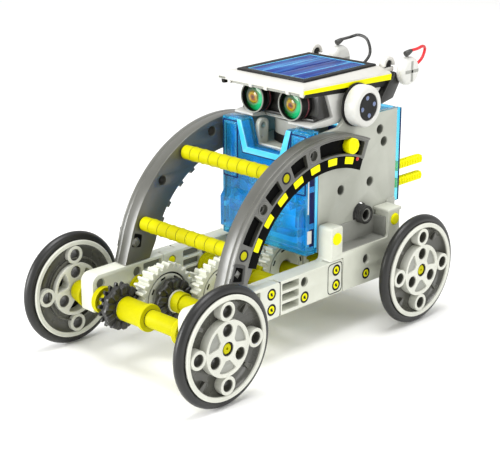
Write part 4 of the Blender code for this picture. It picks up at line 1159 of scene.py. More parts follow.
def make_arch(side, sign):
    """A dark curved plate with sunk pockets, yellow stripes along its inner edge and pegged holes."""
    foot = BEAM_TOP + SEAM
    outer = arc(ARCH_Y, ARCH_Z, ARCH_OUT_R, ARCH_TOP, ARCH_FOOT, 48)
    inner = arc(ARCH_Y, ARCH_Z, ARCH_IN_R, ARCH_FOOT - 2, ARCH_TOP, 40)
    outline = outer + [(-47.5, foot), (-33.5, foot)] + inner
    holes = [arch_point(degrees) for degrees in ARCH_HOLES]
    floor = FRAME_OUT - 2.4
    back = plate([outline] + hole_loops(holes), FRAME_IN, floor, rim=0.3)
    shelf = [(-47.2, foot), (-33.8, foot)]
    shelf += arc(ARCH_Y, ARCH_Z, POCKET_IN - 1.0, ARCH_FOOT - 2, ARCH_TOP, 40)
    pockets = [rounded(arch_band(POCKET_IN, POCKET_OUT, high, low, 14), 0.8, 2) for low, high in POCKETS]
    face = plate([outer + shelf] + hole_loops(holes) + pockets, floor - 0.02, FRAME_OUT - 0.1, rim=0.25)
    bosses = at_places(holes[1:4:2], tube(HOLE_R, HOLE_R + 0.9, FRAME_OUT - 1, FRAME_OUT + 0.1, 0.15, 28),
                       tube(1.2, HOLE_R + 0.05, FRAME_OUT - 3.2, FRAME_OUT - 1.6, 0.15, 28))
    lip = plate([arch_band(ARCH_OUT_R - 0.9, ARCH_OUT_R, ARCH_TOP, ARCH_FOOT, 48)], FRAME_OUT - 0.4,
                FRAME_OUT + 0.35, rim=0.2)
    foot_shades, knobs = make_arch_foot(side, sign)
    tabs = [plate([arch_band(ARCH_IN_R - 1.5, ARCH_IN_R + 0.6, start, start + 3.2, 4)], FRAME_IN + 0.2,
                  FRAME_IN + 3.4) for start in (118, 128, 141, 150)]
    shapes = [back, face, lip, *bosses, *knobs, *tabs]
    piece(side + "_arch_frame", sided(shapes, sign), ARCH, "chassis", (side + "_arch",))
    # Painted shade: near-black floors in the sunk pockets and the foot recesses; the strip is the black band
    # along the inner edge.
    floors = [plate([arch_band(POCKET_IN - 0.3, POCKET_OUT + 0.3, high, low, 14)], floor - 0.3, floor + 0.3,
                    rim=0.05) for low, high in POCKETS]
    strip = plate([arch_band(ARCH_IN_R + 0.1, POCKET_IN - 1.1, ARCH_TOP + 0.3, 160.5, 40)], floor - 0.3,
                  FRAME_OUT - 0.3, rim=0.2)
    piece(side + "_arch_band_and_shade", sided([*floors, strip, *foot_shades], sign), BAND_AND_PIT_SHADE, "chassis")
    stripes = []
    for k in range(STRIPES):
        middle_angle = FIRST_STRIPE + STRIPE_STEP * k
        loop = rounded(arch_band(50.2, 53.3, middle_angle - 3.1, middle_angle + 3.1, 5), 0.25, 1)
        stripes.append(plate([loop], FRAME_OUT - 0.5, FRAME_OUT - 0.15, rim=0.08))
    piece(side + "_arch_stripes", sided(stripes, sign), LIT_YELLOW, "chassis")
    dot = [(0, FRAME_OUT + 0.1), (0.9, FRAME_OUT - 0.1), (1.0, FRAME_OUT - 0.6), (0, FRAME_OUT - 0.6)]
    dots = at_places([arch_point(71.6, 52.8)], lathe(eased(dot), 20))
    piece(side + "_arch_dot", sided(dots, sign), RED_DOT, "chassis")
    make_arch_peg(side, sign)


def make_crossbars():
    """Yellow tubes with a moulded ring about every 6 mm, and a peg into each arch."""
    inner = FRAME_IN - 0.3
    count = round(2 * inner / 6)
    rings = [inner - 2 * inner * k / count for k in range(1, count)]
    outline = [(0, inner), (2.6, inner), (3.1, inner - 0.5)]
    for x in rings:
        outline += [(3.12, x + 0.9), (3.3, x + 0.7), (3.3, x + 0.35), (2.7, x + 0.25), (2.7, x - 0.25),
                    (3.1, x - 0.35)]
    outline += [(3.1, 0.5 - inner), (2.6, -inner), (0, -inner)]
    # Painted shade: dark yellow rings in the grooves between the rings.
    lines = [tube(2.5, 3.06, x - 0.22, x + 0.22, 0.05) for x in rings]
    tubes = [lathe(outline, 40), *both_sides(shaft([(1.8, inner, FRAME_OUT - 0.05)]))]
    # Painted shade: black rings for the gaps round the tube's ends in the arch holes.
    gap_shades = both_sides(tube(1.8, HOLE_R + 0.35, FRAME_OUT - 2, FRAME_OUT + 0.02, 0.08, 28))
    for name, degrees in (("lower_crossbar", ARCH_HOLES[0]), ("upper_crossbar", ARCH_HOLES[2])):
        place = [arch_point(degrees)]
        piece(name + "_lines", at_places(place, *lines), GROOVE_SHADE, "chassis")
        piece(name + "_tube", at_places(place, *tubes), YELLOW, "chassis", (name,))
        piece(name + "_cuffs", at_places(place, *gap_shades), BLACK, "chassis")


# ---------------------------------------------------------------- gearbox body
BODY_FRONT, BODY_BACK = reach("left_side_panel", Y)
BODY_LOW = reach("left_side_panel", Z)[0]
BODY_TOP = reach("rear_cover", Z)[1]
COVER_FRONT = 10.3
COVER_TOP = 92.6
NOTCH_FLOOR = 80.8
NOTCH_LOW, NOTCH_HIGH = 9.6, 13.4
PANEL_HOLES = ((58.5, 86.1), (61.6, 80.1), (52.4, 63.4), (32.5, 63.5))
LUG_R = 7.4


def make_side_panel(side, sign):
    """A flat panel with a round lug for the head's pivot, blind sockets and a stepped foot; the foot and the
    sockets' linings are painted shade.
    """
    inside, outside = BODY_OUT - 2.0, BODY_OUT
    lug = arc(HEAD_Y, HEAD_Z, LUG_R, -40, 220, 28)
    outline = [(BODY_FRONT, BODY_LOW), (BODY_BACK, BODY_LOW), (BODY_BACK, BODY_TOP),
               (HEAD_Y + LUG_R, BODY_TOP)]
    outline += lug + [(30.0, 91.8), (BODY_FRONT, 90.8)]
    holes = [circle(HEAD_Y, HEAD_Z, 3.3)] + hole_loops(PANEL_HOLES, 2.3)
    if sign > 0:
        holes.append(circle(OUTPUT_Y, OUTPUT_Z, 4.85))
    pad = plate([rounded(rectangle(64.2, BODY_LOW + 0.4, BODY_BACK - 0.2, 52.5), 0.8)], outside - 0.1,
                outside + 0.5)
    sockets = at_places(PANEL_HOLES, tube(2.2, 3.2, inside - 4.0, inside + 0.2, 0.2, 28))
    shapes = [plate([outline] + holes, inside, outside, rim=0.35), *sockets, pad]
    piece(side + "_panel", sided(shapes, sign), SHADED_PANEL, "chassis", (side + "_side_panel",))
    # Painted shade: the foot between the posts, the rail's top below it and the rear post's front face are
    # painted grey.
    foot = plate([rounded(rectangle(25.0, BODY_LOW + 0.2, 55.3, 47.8), 0.8)], outside - 0.1, outside + 0.45)
    ledge = block((inside + 0.2, 24.8, 37.9), (FRAME_OUT - 0.9, 55.4, 38.62), 0.12)
    cheek = block((outside + 0.3, 54.9, 38.7), (FRAME_OUT - 1.4, 55.78, 47.6), 0.12)
    piece(side + "_panel_foot_shade", sided([foot, ledge, cheek], sign), GREY, "chassis")
    # Painted shade: dark floors and linings in the blind sockets.
    liners = at_places(PANEL_HOLES, tube(0, 2.3, inside - 3.8, inside - 3.0, 0.1, 28),
                       tube(2.0, 2.32, inside - 3.0, outside - 0.4, 0.05, 28))
    piece(side + "_panel_socket_shade", sided(liners, sign), SHADE, "chassis")


def cover_outline(inset=0.0):
    """The front cover's outline with its wide notch, drawn in by inset."""
    half = BODY_OUT - 0.2 - inset
    top = COVER_TOP - inset
    right = [(half, BODY_LOW + inset), (half, top), (NOTCH_HIGH + inset, top),
             (NOTCH_LOW + inset, NOTCH_FLOOR - inset)]
    return right + flipped(right)


def notch_strip(near, far):
    """A strip that runs round the notch, from near to far outside its edge."""
    inner, outer = [[(NOTCH_HIGH + gap, COVER_TOP - 0.3), (NOTCH_LOW + gap, NOTCH_FLOOR - gap)]
                    for gap in (near, far)]
    return outer + flipped(outer) + flipped(inner)[::-1] + inner[::-1]


def window_frame(outer, outer_rim, inner, inner_rim, low, high, rim):
    """A thin rounded frame on the cover's face, one on each side; its loops are (x, z) rectangles."""
    loops = [rounded(rectangle(*outer), outer_rim), rounded(rectangle(*inner), inner_rim)]
    return both_sides(plate(loops, COVER_FRONT + low, COVER_FRONT + high, "Y", rim))


def on_face(x, z, wide, high, thick):
    """A block behind the cover's face, centred on (x, z)."""
    return block((x - wide / 2, COVER_FRONT + 2.0, z - high / 2),
                 (x + wide / 2, COVER_FRONT + thick, z + high / 2), 0.4)


def make_front_cover():
    """A clear tray, open behind, with a bulge below."""
    back = BODY_FRONT - 0.3
    tray = plate([rounded(cover_outline(), 0.5, 2)], COVER_FRONT, back, "Y", 0.3)
    bulge = [(COVER_FRONT - 3.6, 43.0), (COVER_FRONT + 1.0, 39.6), (COVER_FRONT + 1.0, 62.0),
             (COVER_FRONT - 3.6, 56.5)]
    tray = carved(tray, plate([bulge], -23.6, 23.6, "X", 0.5), operation="UNION")
    hollow = plate([cover_outline(1.6)], COVER_FRONT + 1.6, back + 1, "Y", 0.1)
    gear_slot = block((-2, 12.6, 30), (7.5, 20, 42), 0)
    frames = window_frame((16.6, 66.0, 24.0, 90.4), 0.8, (17.3, 66.7, 23.3, 89.7), 0.6, -0.45, 0.1, 0.15)
    for z in (58.4, 71.5):
        frames.append(block((-15.0, COVER_FRONT - 0.4, z), (15.0, COVER_FRONT + 0.1, z + 0.8), 0.15))
    piece("clear_front", [carved(tray, hollow, gear_slot), *frames], BLUE, "chassis", ("front_cover",))
    make_cover_lines()
    make_cover_works(back)


def make_cover_lines():
    """Thin pale and dark lines along the clear cover's edges: painted highlights and painted shade."""
    face = COVER_FRONT + 0.05
    # Painted highlight: pale strips round the notch and along the cover's sides.
    trims = [plate([notch_strip(0.05, 2.7)], COVER_FRONT - 0.5, face, "Y", 0.15)]
    trims += both_sides(block((BODY_OUT - 0.5, 15.6, 41.0), (BODY_OUT - 0.1, 17.2, 91.5), 0.15))
    piece("clear_front_edge_highlight", trims, PALE_BLUE, "chassis")
    # Painted shade: dark lines beside the pale strips and round the window frames.
    lines = [plate([notch_strip(2.7, 3.2)], COVER_FRONT - 0.35, face, "Y", 0.08)]
    for low, high in ((42.0, 50.0), (52.5, 66.5), (69.0, 90.5)):
        lines += both_sides(block((BODY_OUT - 0.5, 12.2, low), (BODY_OUT - 0.12, 15.2, high), 0.2))
    lines += window_frame((15.6, 65.2, 24.7, 91.3), 0.8, (16.1, 65.7, 24.2, 90.8), 0.6, -0.25, 0.05, 0.05)
    piece("clear_front_edge_shade", lines, EDGE_SHADE_NAVY, "chassis")


def make_cover_works(back):
    """Generic shapes seen through the cover, a pale backing behind them that is painted light, its white
    clips and a painted white highlight on each side.
    """
    slat = plate([rounded(rectangle(18.0, 68.0, 21.2, 88.0), 0.4)], COVER_FRONT + 1.8, COVER_FRONT + 3.0,
                 "Y")
    works = both_sides(slat)
    for x, z, radius in ((-15.0, 61.0, 6.4), (14.5, 63.0, 6.0), (3.0, 51.0, 5.0)):
        teeth = round(radius * 1.6)
        scale = radius / (teeth * GEAR_MODULE / 2)
        loops = [[(u * scale, v * scale) for u, v in loop] for loop in (gear_loop(teeth, 0.3),
                                                                        circle(0, 0, radius * 0.45))]
        works.append(moved(plate(loops, COVER_FRONT + 2.0, COVER_FRONT + 4.2, "Y", 0.15), (x, 0, z)))
    for x, z, wide, high in ((-16.5, 72.5, 9.0, 2.2), (-6.0, 66.0, 3.0, 13.0), (5.5, 70.0, 12.0, 1.8),
                             (19.5, 54.0, 4.0, 9.0), (-17.5, 50.5, 8.0, 3.0), (10.0, 46.0, 14.0, 2.4)):
        works.append(on_face(x, z, wide, high, 4.6))
    piece("cover_works", works, WORKS, "chassis")
    # Painted light: a pale backing that brightens the cover from behind.
    piece("cover_backing_painted_light", [plate([cover_outline(2.2)], back - 0.9, back - 0.2, "Y", 0.1)], BACKING,
          "chassis")
    # Painted highlight: a white glint along each side of the cover; the clip is a white tab.
    glint = block((BODY_OUT - 0.5, COVER_FRONT + 0.7, 57.0), (BODY_OUT - 0.14, COVER_FRONT + 1.5, 90.0),
                  0.15)
    clip = block((BODY_OUT - 0.6, COVER_FRONT + 0.6, 43.5), (BODY_OUT - 0.08, COVER_FRONT + 3.4, 49.5), 0.2)
    piece("cover_clips_and_glints", both_sides(glint, clip), WHITE, "chassis")


def along_y(shape):
    """A shape made along +X, turned to run along +Y."""
    return moved(shape, turn=(90, "Z"))


TAIL_X = middle("upper_tail_rod", X)
TAIL_HEIGHTS = (middle("lower_tail_rod", Z), middle("upper_tail_rod", Z))
TAIL_END = reach("upper_tail_rod", Y)[1]
TAIL_RINGS = 11


def make_rear_cover():
    """The clear rear shell: a top strip and a back wall with vents and ribs."""
    back = BODY_BACK + 0.3
    wall = 2.6
    outline = [(44.0, BODY_TOP - 2), (back, BODY_TOP - 2), (back, 50.0), (back + wall, 50.0),
               (back + wall, BODY_TOP - 1.5), (back + wall - 1.5, BODY_TOP), (44.0, BODY_TOP)]
    half = BODY_OUT - 2.3
    shell = plate([outline], -half, half, rim=0.4)
    cutters = [moved(along_y(tube(0, 2.6, 60, 80)), (TAIL_X, 0, z)) for z in TAIL_HEIGHTS]
    cutters += [block((-12, back - 1, z), (12, back + wall + 1, z + 2.2), 0) for z in (74, 78.5, 83, 87.5)]
    shell = carved(shell, *cutters)
    ribs = [block((x - 0.6, back + wall - 0.3, 52.0), (x + 0.6, back + wall + 0.35, 71.0), 0.25)
            for x in range(-16, 17, 4)]
    flange = block((half - 0.2, back, 50.2), (BODY_OUT - 0.1, back + wall - 0.2, BODY_TOP - 0.2), 0.3)
    roof_edge = block((half - 0.2, 49.0, BODY_TOP - 1.0), (BODY_OUT - 0.2, back + 0.4, BODY_TOP + 0.1), 0.2)
    shapes = [shell, *ribs, *both_sides(flange, roof_edge)]
    piece("clear_rear", shapes, BLUE, "chassis", ("rear_cover",))
    # Painted shade: a dark line down the clear rear shell's side edge.
    edge = block((BODY_OUT - 0.6, back + wall - 0.6, 50.4), (BODY_OUT + 0.05, back + wall + 0.1,
                                                             BODY_TOP - 0.4), 0.15)
    piece("clear_rear_edge_shade", both_sides(edge), EDGE_SHADE_NAVY, "chassis")
    bars = [block((-half + 1, BODY_BACK - 4, z), (half - 1, BODY_BACK - 1, z + 3), 0.4)
            for z in (55, 66, 77)]
    piece("rear_works", bars, WORKS, "chassis")


def make_tail_rods():
    """Two tapered rods with rings and thin fins along them."""
    start = 62.0
    outline = [(0, TAIL_END), (1.2, TAIL_END), (1.6, TAIL_END - 0.5)]
    for k in range(TAIL_RINGS):
        y = TAIL_END - 1.6 - k * 2.0
        radius = 2.05 + 0.3 * k / TAIL_RINGS
        outline += [(radius - 0.5, y + 0.9), (radius, y + 0.5), (radius, y - 0.2), (radius - 0.55, y - 0.5)]
    outline += [(2.2, start + 8), (2.2, start), (0, start)]
    fin = block((start + 9, -0.35, -2.3), (TAIL_END - 1, 0.35, 2.3), 0.15)
    shapes = [lathe(outline, 32), *fanned(fin, (45, -45))]
    for name, z in zip(("lower_tail_rod", "upper_tail_rod"), TAIL_HEIGHTS):
        rod = [moved(along_y(shape), (TAIL_X, 0, z)) for shape in shapes]
        piece(name + "_ribbed", rod, LIT_YELLOW, "chassis", (name,))


NECK_HALF = 12.5
NECK_BACK = 38.0


def make_inner_body():
    """The light deck with its two lugs, the neck, the motor, its pinion and the output gear."""
    half = BODY_OUT - 2.3
    deck = block((-half, BODY_FRONT, 78.6), (half, 43.5, 80.6), 0.3)
    lip = block((-half + 1, BODY_FRONT + 0.4, 80.4), (half - 1, BODY_FRONT + 1.4, 81.2), 0.2)
    outline = rounded([(17.9, 80.5), (23.6, 80.5), (24.2, 90.0), (22.6, 91.9), (19.6, 91.9), (17.7, 90.0)],
                      1.4, 4)
    lug = plate([outline, circle(20.8, 88.6, 1.5), circle(19.7, 83.4, 0.6)], 9.9, 12.3, rim=0.45)
    piece("deck", [deck, lip, *both_sides(lug)], LIGHT, "chassis", ("top_plate",))
    turns = [math.radians(degrees) for degrees in range(0, 181, 9)]
    curve = [(NECK_HALF * math.cos(turn), 33.0 - 8.3 * math.sin(turn)) for turn in turns]
    column = [(NECK_HALF, NECK_BACK), *curve, (-NECK_HALF, NECK_BACK)]
    piece("neck_column", [plate([column], 84.6, 91.5, "Z", 0.4)], GREY, "chassis", ("neck",))
    base = [(x * 1.04, y) for x, y in column]
    piece("neck_base", [plate([base], 80.7, 84.8, "Z", 0.3)], BLACK, "chassis")
    can = [(0, 20.5), (3.0, 20.5), (3.0, 19.4), (7.0, 19.4), (7.9, 18.6), (7.9, 3.0), (7.2, 2.0), (3.0, 2.0),
           (3.0, 0.6), (0, 0.6)]
    place = (0, OUTPUT_Y, MOTOR_Z)
    piece("motor_can", [moved(lathe(eased(can), 40), place)], STEEL, "chassis", ("motor",))
    shapes = [gear(28, 0.0, PLANE_D, 3.0), gear(22, PHASE_OUT22, PLANE_B, 3.0), shaft([(4.6, -13.5, 0.2)])]
    piece("output_wheel", [moved(item, (0, OUTPUT_Y, OUTPUT_Z)) for item in shapes], LIGHT, "output_shaft",
          ("output_gear",))
    shapes = [gear(12, PHASE_MOTOR, PLANE_D, 1.2), shaft([(1.5, -5.0, 0.3)])]
    piece("pinion", [moved(item, place) for item in shapes], WHITE, "pinion_shaft", ("motor_pinion",))


def make_output_hub():
    """The dark drive socket on the left: a ringed sleeve round a hexagonal bore."""
    end = reach("output_hub", X)[1]
    outline = [(2.9, end - 0.4), (3.3, end), (4.0, end), (4.25, end - 0.3)]
    for k in range(5):
        x = end - 0.9 - k * 1.0
        outline += [(4.25, x + 0.25), (3.95, x), (3.95, x - 0.25), (4.25, x - 0.5)]
    outline += [(4.25, 22.0), (2.9, 22.0)]
    sleeve = moved(lathe(outline, 40, closed=True), (0, OUTPUT_Y, OUTPUT_Z))
    bore = plate([circle(0, 0, 3.0, 32), rounded(circle(0, 0, 2.2, 6), 0.3, 1)], 22.5, end - 1.2)
    stem = shaft([(3.0, 0.5, 22.6)])
    place = (0, OUTPUT_Y, OUTPUT_Z)
    piece("drive_socket", [sleeve, moved(bore, place), moved(stem, place)], DARK, "output_shaft",
          ("output_hub",))
    piece("drive_socket_lip", [moved(tube(2.5, 2.95, end - 1.3, end - 0.5, 0.1), place)], GREY,
          "output_shaft")


# ---------------------------------------------------------------- head
ROOF_HALF = reach("roof", X)[1]
ROOF_FRONT, ROOF_BACK = reach("roof", Y)
PANEL_SLOPE = math.atan2(0.5, 47.7)
SOLAR_Z = reach("solar_panel", Z)[0] - 0.45
EYE_X = middle("left_eye_lens", X)
EYE_Z = middle("left_eye_lens", Z)


def make_roof():
    """A shallow white lid with softened edges, striped sides and small teeth under its front edge."""
    rings = [(ROOF_HALF, 7.3, 109.6, 66.0, 107.3), (ROOF_HALF, 7.3, 112.4, 66.0, 110.6),
             (20.8, 12.9, 113.0, 62.4, 113.5)]
    lid = bmesh.new()
    bmesh.ops.create_cube(lid, size=2)
    uprights = [e for e in lid.edges if e.verts[0].co.z != e.verts[1].co.z]
    bmesh.ops.subdivide_edges(lid, edges=uprights, cuts=1)
    for vert in lid.verts:
        half, front, front_z, back, back_z = rings[round(vert.co.z) + 1]
        is_front = vert.co.y < 0
        vert.co = (math.copysign(half, vert.co.x), front if is_front else back, front_z
                   if is_front else back_z)
    bmesh.ops.bevel(lid, geom=list(lid.edges), offset=0.45, segments=3, affect="EDGES", profile=0.5)
    shapes = [lid]
    for x in (-18.5, -5.8, 3.0, 15.7, 23.6):
        tooth = plate([rounded([(7.6, 110.4), (7.7, 108.5), (8.4, 108.0), (10.4, 110.0)], 0.3, 2)], x - 0.9,
                      x + 0.9)
        shapes.append(tooth)
    hook = plate([band(67.0, 113.4, 2.3, 3.9, -10, 190, 16)], 19.7, 22.9, rim=0.4)
    shapes += both_sides(hook, block((19.9, 61.5, 110.2), (22.7, 70.4, 112.4), 0.5))
    piece("roof_lid", shapes, ROOF, "head", ("roof",))
    stripe = [(7.9, 109.55), (65.5, 107.35), (65.8, 110.0), (7.9, 111.2)]
    piece("roof_stripes", both_sides(plate([stripe], ROOF_HALF - 0.2, ROOF_HALF + 0.15, rim=0.1)), LIT_YELLOW,
          "head")
    skirt = plate([[(8.6, 107.6), (64.8, 104.4), (65.4, 107.7), (8.2, 109.9)]], 22.2, 23.9, rim=0.2)
    gap = block((20.3, 65.0, 112.0), (22.3, 69.0, 115.2), 0.5)
    piece("roof_shadow_strips", both_sides(skirt, gap), BLACK, "head")
    piece("roof_corner_mark", [block((-24.4, 7.15, 109.9), (-20.2, 7.6, 110.9), 0.2)], SHADE, "head")
    fills = [block((low, 8.6, 108.3), (high, 9.3, 110.2), 0.15) for low,
             high in ((-17.6, -6.8), (-4.8, 2.0), (4.0, 14.7), (16.7, 22.6))]
    piece("roof_front_fills", fills, GREY, "head")


def on_slope(shape, z):
    """A flat shape drawn at the panel's middle, laid on the roof's slight slope."""
    centre = (ROOF_FRONT + ROOF_BACK) / 2 + 1.0
    return moved(moved(shape, (0, -centre, 0)), (0, centre, z), Matrix.Rotation(PANEL_SLOPE, 4, "X"))


def make_solar_panel():
    """Two blue cells side by side in a black tray, with thin silver lines across them."""
    low, high = reach("solar_panel", Y)
    half = reach("solar_panel", X)[1]
    border = 3.3
    opening = rectangle(border - half, low + border, half - border, high - border)
    tray = [rounded(rectangle(-half, low, half, high), 0.8), rounded(opening, 0.3)]
    bed = rectangle(1 - half, low + 1, half - 1, high - 1)
    shapes = [on_slope(plate(tray, 0.0, 1.25, "Z", 0.3), SOLAR_Z),
              on_slope(plate([bed], 0.0, 0.7, "Z", 0.1), SOLAR_Z)]
    piece("solar_tray", shapes, BLACK, "head", ("solar_panel",))
    inset = border + 0.15
    cell = plate([rectangle(0.35, low + inset, half - inset, high - inset)], 0.6, 0.95, "Z", 0.08)
    piece("solar_cells", [on_slope(item, SOLAR_Z) for item in both_sides(cell)], CELL, "head")
    x = (half - inset) / 2
    lines = both_sides(block((x - 0.15, low + inset + 1, 0.9), (x + 0.15, high - inset - 1, 1.0), 0.03))
    edge = [opening, rectangle(border + 0.5 - half, low + border + 0.7, half - border - 0.5,
                               high - border - 0.4)]
    lines.append(plate(edge, 0.9, 1.05, "Z", 0.05))
    piece("solar_lines", [on_slope(line, SOLAR_Z) for line in lines], PALE_BLUE, "head")


def make_head_shells():
    """The white housing, the dark mask round the eyes and the bracket behind."""
    shell = [(24.5, 108.6), (27.2, 102.0), (29.4, 96.0), (16.5, 94.9), (15.0, 94.2), (15.6, 93.2),
             (24.0, 92.6), (32.0, 92.9), (43.0, 94.7), (48.0, 95.0), (56.6, 98.4), (61.6, 104.4),
             (64.0, 107.0)]
    half = reach("head_housing", X)[1]
    body = carved(plate([rounded(shell, 0.8, 2)], -half, half, rim=0.5),
                  block((-11.5, 13.0, 91.0), (9.5, 23.4, 97.0), 0))
    piece("head_shell", [body], WHITE, "head", ("head_housing",))
    throat = [block((-11.4, 22.9, 92.9), (9.4, 23.6, 95.6), 0.2),
              block((-11.4, 23.0, 93.4), (-10.2, 26.0, 96.5), 0.2)]
    piece("head_throat", throat, GREY, "head")
    mask = [(21.0, 108.6), (24.1, 108.4), (26.8, 101.9), (28.9, 96.3), (21.0, 95.6)]
    face = plate([rounded(mask, 0.6, 2)], -21.5, 21.5, rim=0.4)
    brow = block((-21.0, 19.8, 106.6), (21.0, 21.6, 108.4), 0.4)
    shelf = block((-21.0, 18.6, 95.2), (21.0, 21.6, 96.6), 0.4)
    piece("visor_mask", [face, brow, shelf], DARK, "head", ("visor",))
    arm = [(65.0, 106.8), (66.5, 107.0), (69.0, 110.6), (72.0, 105.2), (67.7, 98.8), (59.3, 97.2),
           (58.4, 98.4), (63.2, 104.6)]
    bracket = plate([rounded(arm, 0.6, 2)], -25.0, 25.0, rim=0.35)
    bracket = carved(bracket, block((-15.4, 68.0, 100.0), (-9.6, 80.0, 120.0), 0))
    ribs = [block((x - 0.5, 61.0, 97.7), (x + 0.5, 64.0, 99.2), 0.2) for x in (-18, 0, 18)]
    piece("arm_bracket", [bracket, *ribs], DARK, "head", ("rear_arm",))


def towards_front(shape, x):
    """A shape made along +X, turned to face -Y at an eye's axis."""
    return moved(shape, (x, 0, EYE_Z), (-90, "Z"))


def make_eyes():
    """Each eye: a ringed black barrel, a grey lip, a rose ring and a domed lens with a stepped heart."""
    for side, sign in (("left", 1), ("right", -1)):
        x = sign * EYE_X
        barrel = [(6.2, -15.6), (6.3, -14.6), (6.6, -14.4), (7.0, -14.8), (7.0, -16.8), (6.7, -17.1),
                  (6.7, -17.6), (7.0, -17.9), (7.0, -18.4), (6.6, -18.6), (6.6, -19.4), (6.9, -19.6),
                  (6.9, -24.5), (5.8, -24.5), (5.8, -17.4)]
        barrel = lathe(barrel, 56, closed=True)
        piece(side + "_barrel", [towards_front(barrel, x)], BLACK, "head", (side + "_eye_barrel",))
        ring = tube(6.5, 6.98, -19.35, -18.65, 0.12, 56)
        piece(side + "_barrel_ring", [towards_front(ring, x)], ROSE, "head")
        lip = lathe([(6.25, -14.75), (6.35, -14.35), (6.62, -14.25), (6.85, -14.5), (6.9, -14.9),
                     (6.4, -15.1)], 56, closed=True)
        piece(side + "_barrel_lip", [towards_front(lip, x)], GREY, "head")
        dome = [(0, -14.75), (1.0, -14.78), (2.0, -14.92), (2.6, -15.1), (2.75, -15.32), (3.3, -15.3),
                (3.8, -15.28), (4.8, -15.6), (5.6, -16.0), (6.15, -16.5), (6.15, -18.0), (0, -18.0)]
        lens = towards_front(lathe(dome, 56), x)
        centre = (x, KIT_Y / MM + 15.2, EYE_Z)
        piece(side + "_lens", [lens], eye_glass(centre), "head", (side + "_eye_lens",))


def make_ears():
    """Round ears with a dished dark disc and four slate spots."""
    for side, sign in (("left", 1), ("right", -1)):
        face = reach(side + "_ear", X)[1] if sign > 0 else -reach(side + "_ear", X)[0]
        low = 26.2
        outline = [(0, 23.1), (2.9, 23.1), (2.9, low), (8.3, low), (9.0, low + 0.6), (9.2, low + 1.8),
                   (9.2, face - 1.9), (8.9, face - 0.8), (8.2, face - 0.15), (7.4, face), (6.3, face),
                   (6.0, face - 0.5), (0, face - 0.5)]
        cup = lathe(outline, 64)
        place = (0, HEAD_Y, HEAD_Z)
        piece(side + "_ear_cup", [mirrored(moved(cup, place), sign)], WHITE, "head", (side + "_ear",))
        disc = lathe([(0, face - 0.35), (4.0, face - 0.3), (5.6, face - 0.12), (5.95, face - 0.3),
                      (5.95, face - 0.8), (0, face - 0.8)], 56)
        shadow = tube(7.0, 9.55, low - 0.7, low + 0.15, 0.15, 64)
        piece(side + "_ear_disc", sided([moved(item, place) for item in (disc, shadow)], sign), BLACK,
              "head")
        spot = lathe([(0, face), (0.7, face - 0.05), (1.0, face - 0.25), (1.0, face - 0.6), (0, face - 0.6)],
                     20)
        spots = at_places([polar(HEAD_Y, HEAD_Z, 4.0, angle) for angle in (10, 100, 190, 280)], spot)
        piece(side + "_ear_spots", sided(spots, sign), SPOT, "head")


def make_terminals():
    """Round plugs behind the head: a domed face with its polarity mark, a groove and a ribbed boot."""
    for side in ("left", "right"):
        low, high = reach(side + "_terminal", X)
        place = (0, middle(side + "_terminal", Y), middle(side + "_terminal", Z))
        outline = [(0, high - 0.15), (4.4, high - 0.15), (5.3, high - 0.5), (6.1, high - 1.2),
                   (6.45, high - 2.2), (6.2, high - 2.5), (6.45, high - 2.8), (6.5, low + 0.5), (6.1, low),
                   (0, low)]
        piece(side + "_plug", [moved(lathe(eased(outline, 0.2), 56), place)], WHITE, "head",
              (side + "_terminal",))
        marks = [block((high - 0.3, -4.6, -0.75), (high, 4.6, 0.75), 0.12)]
        if side == "left":
            marks.append(block((high - 0.3, -0.75, -4.6), (high, 0.75, 4.6), 0.12))
        piece(side + "_plug_mark", [moved(mark, place) for mark in marks], GREY, "head")
        outline = [(0, 0), (1.4, 0.0), (1.4, 0.5), (1.15, 0.7), (1.3, 1.1), (1.3, 1.5), (1.05, 1.7),
                   (1.2, 2.1), (1.1, 2.6), (0.95, 2.8), (1.0, 3.3), (0.85, BOOT_LENGTH), (0, BOOT_LENGTH)]
        lean = Vector((1, 0, 0)).rotation_difference(BOOT_LEAN).to_matrix().to_4x4()
        piece(side + "_lead_boot", [moved(lathe(outline, 28), boot_base(side), lean)], BOOT, "head",
              (side + "_boot",))


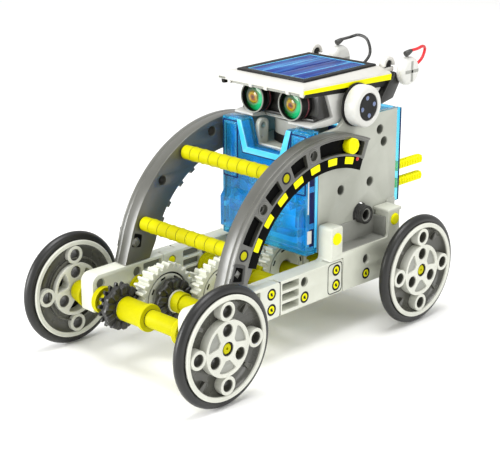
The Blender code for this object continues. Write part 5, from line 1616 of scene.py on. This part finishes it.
# ---------------------------------------------------------------- build
make_camera()
make_lead("red_lead", "left", RED_ROUTE, RED)
make_lead("black_lead", "right", BLACK_ROUTE, LEAD)
make_wheels()
make_axles()
make_idlers()
for SIDE, SIGN in (("left", 1), ("right", -1)):
    make_front_beam(SIDE, SIGN)
    make_middle_beam(SIDE, SIGN)
    make_rear_bracket(SIDE, SIGN)
    make_arch(SIDE, SIGN)
    make_side_panel(SIDE, SIGN)
make_crossbars()
make_front_cover()
make_rear_cover()
make_tail_rods()
make_inner_body()
make_output_hub()
make_roof()
make_solar_panel()
make_head_shells()
make_eyes()
make_ears()
make_terminals()


# ---------------------------------------------------------------- CAD nodes that keep their own shape
SLOT_LOOKS = {"light_plastic": LIGHT, "white_plastic": WHITE, "yellow_plastic": YELLOW, "dark_plastic": DARK,
              "clear_blue": BLUE, "black_rubber": TYRE, "solar_cell": CELL, "eye_lens": CELL,
              "motor_steel": STEEL, "red_insulation": RED, "black_insulation": LEAD}


def make_stage():
    """A plain pale floor, a soft sky and three soft lamps."""
    mesh = bpy.data.meshes.new("floor")
    floor = bmesh.new()
    bmesh.ops.create_grid(floor, x_segments=1, y_segments=1, size=6)
    floor.to_mesh(mesh)
    floor.free()
    item = linked("floor", mesh)
    graph = Graph("pale_floor", "light_plastic")
    graph.paint(graph.ramp(graph.noise(1.5), ((0.3, srgb("#F6F6F4")), (0.7, srgb("#F9F9F8")))))
    graph.set(Roughness=0.9)
    mesh.materials.append(graph.material)
    world = bpy.data.worlds.new("studio")
    world.use_nodes = True
    world.node_tree.nodes["Background"].inputs["Color"].default_value = (1, 1, 1, 1)
    world.node_tree.nodes["Background"].inputs["Strength"].default_value = 0.78
    bpy.context.scene.world = world
    bpy.context.scene.view_settings.view_transform = "Standard"
    lamps = (("key_lamp", (-0.4, -1.1, 0.38), 0.6, 15), ("top_lamp", (0.1, 0.0, 1.2), 0.6, 9),
             ("side_lamp", (1.0, 0.1, 0.3), 0.5, 2.5))
    for name, place, size, power in lamps:
        light = bpy.data.lights.new(name, "AREA")
        light.size = size
        light.energy = power
        lamp = linked(name, light)
        lamp.location = place
        lamp.rotation_euler = (Vector(place) - Vector((0, 0, 0.06))).to_track_quat("Z", "Y").to_euler()


make_stage()
for part in frame["record"]["subparts"]:
    data = frame["nodes"][part["node"]].data
    data.materials.clear()
    data.materials.append(SLOT_LOOKS[part["material_slot"]])
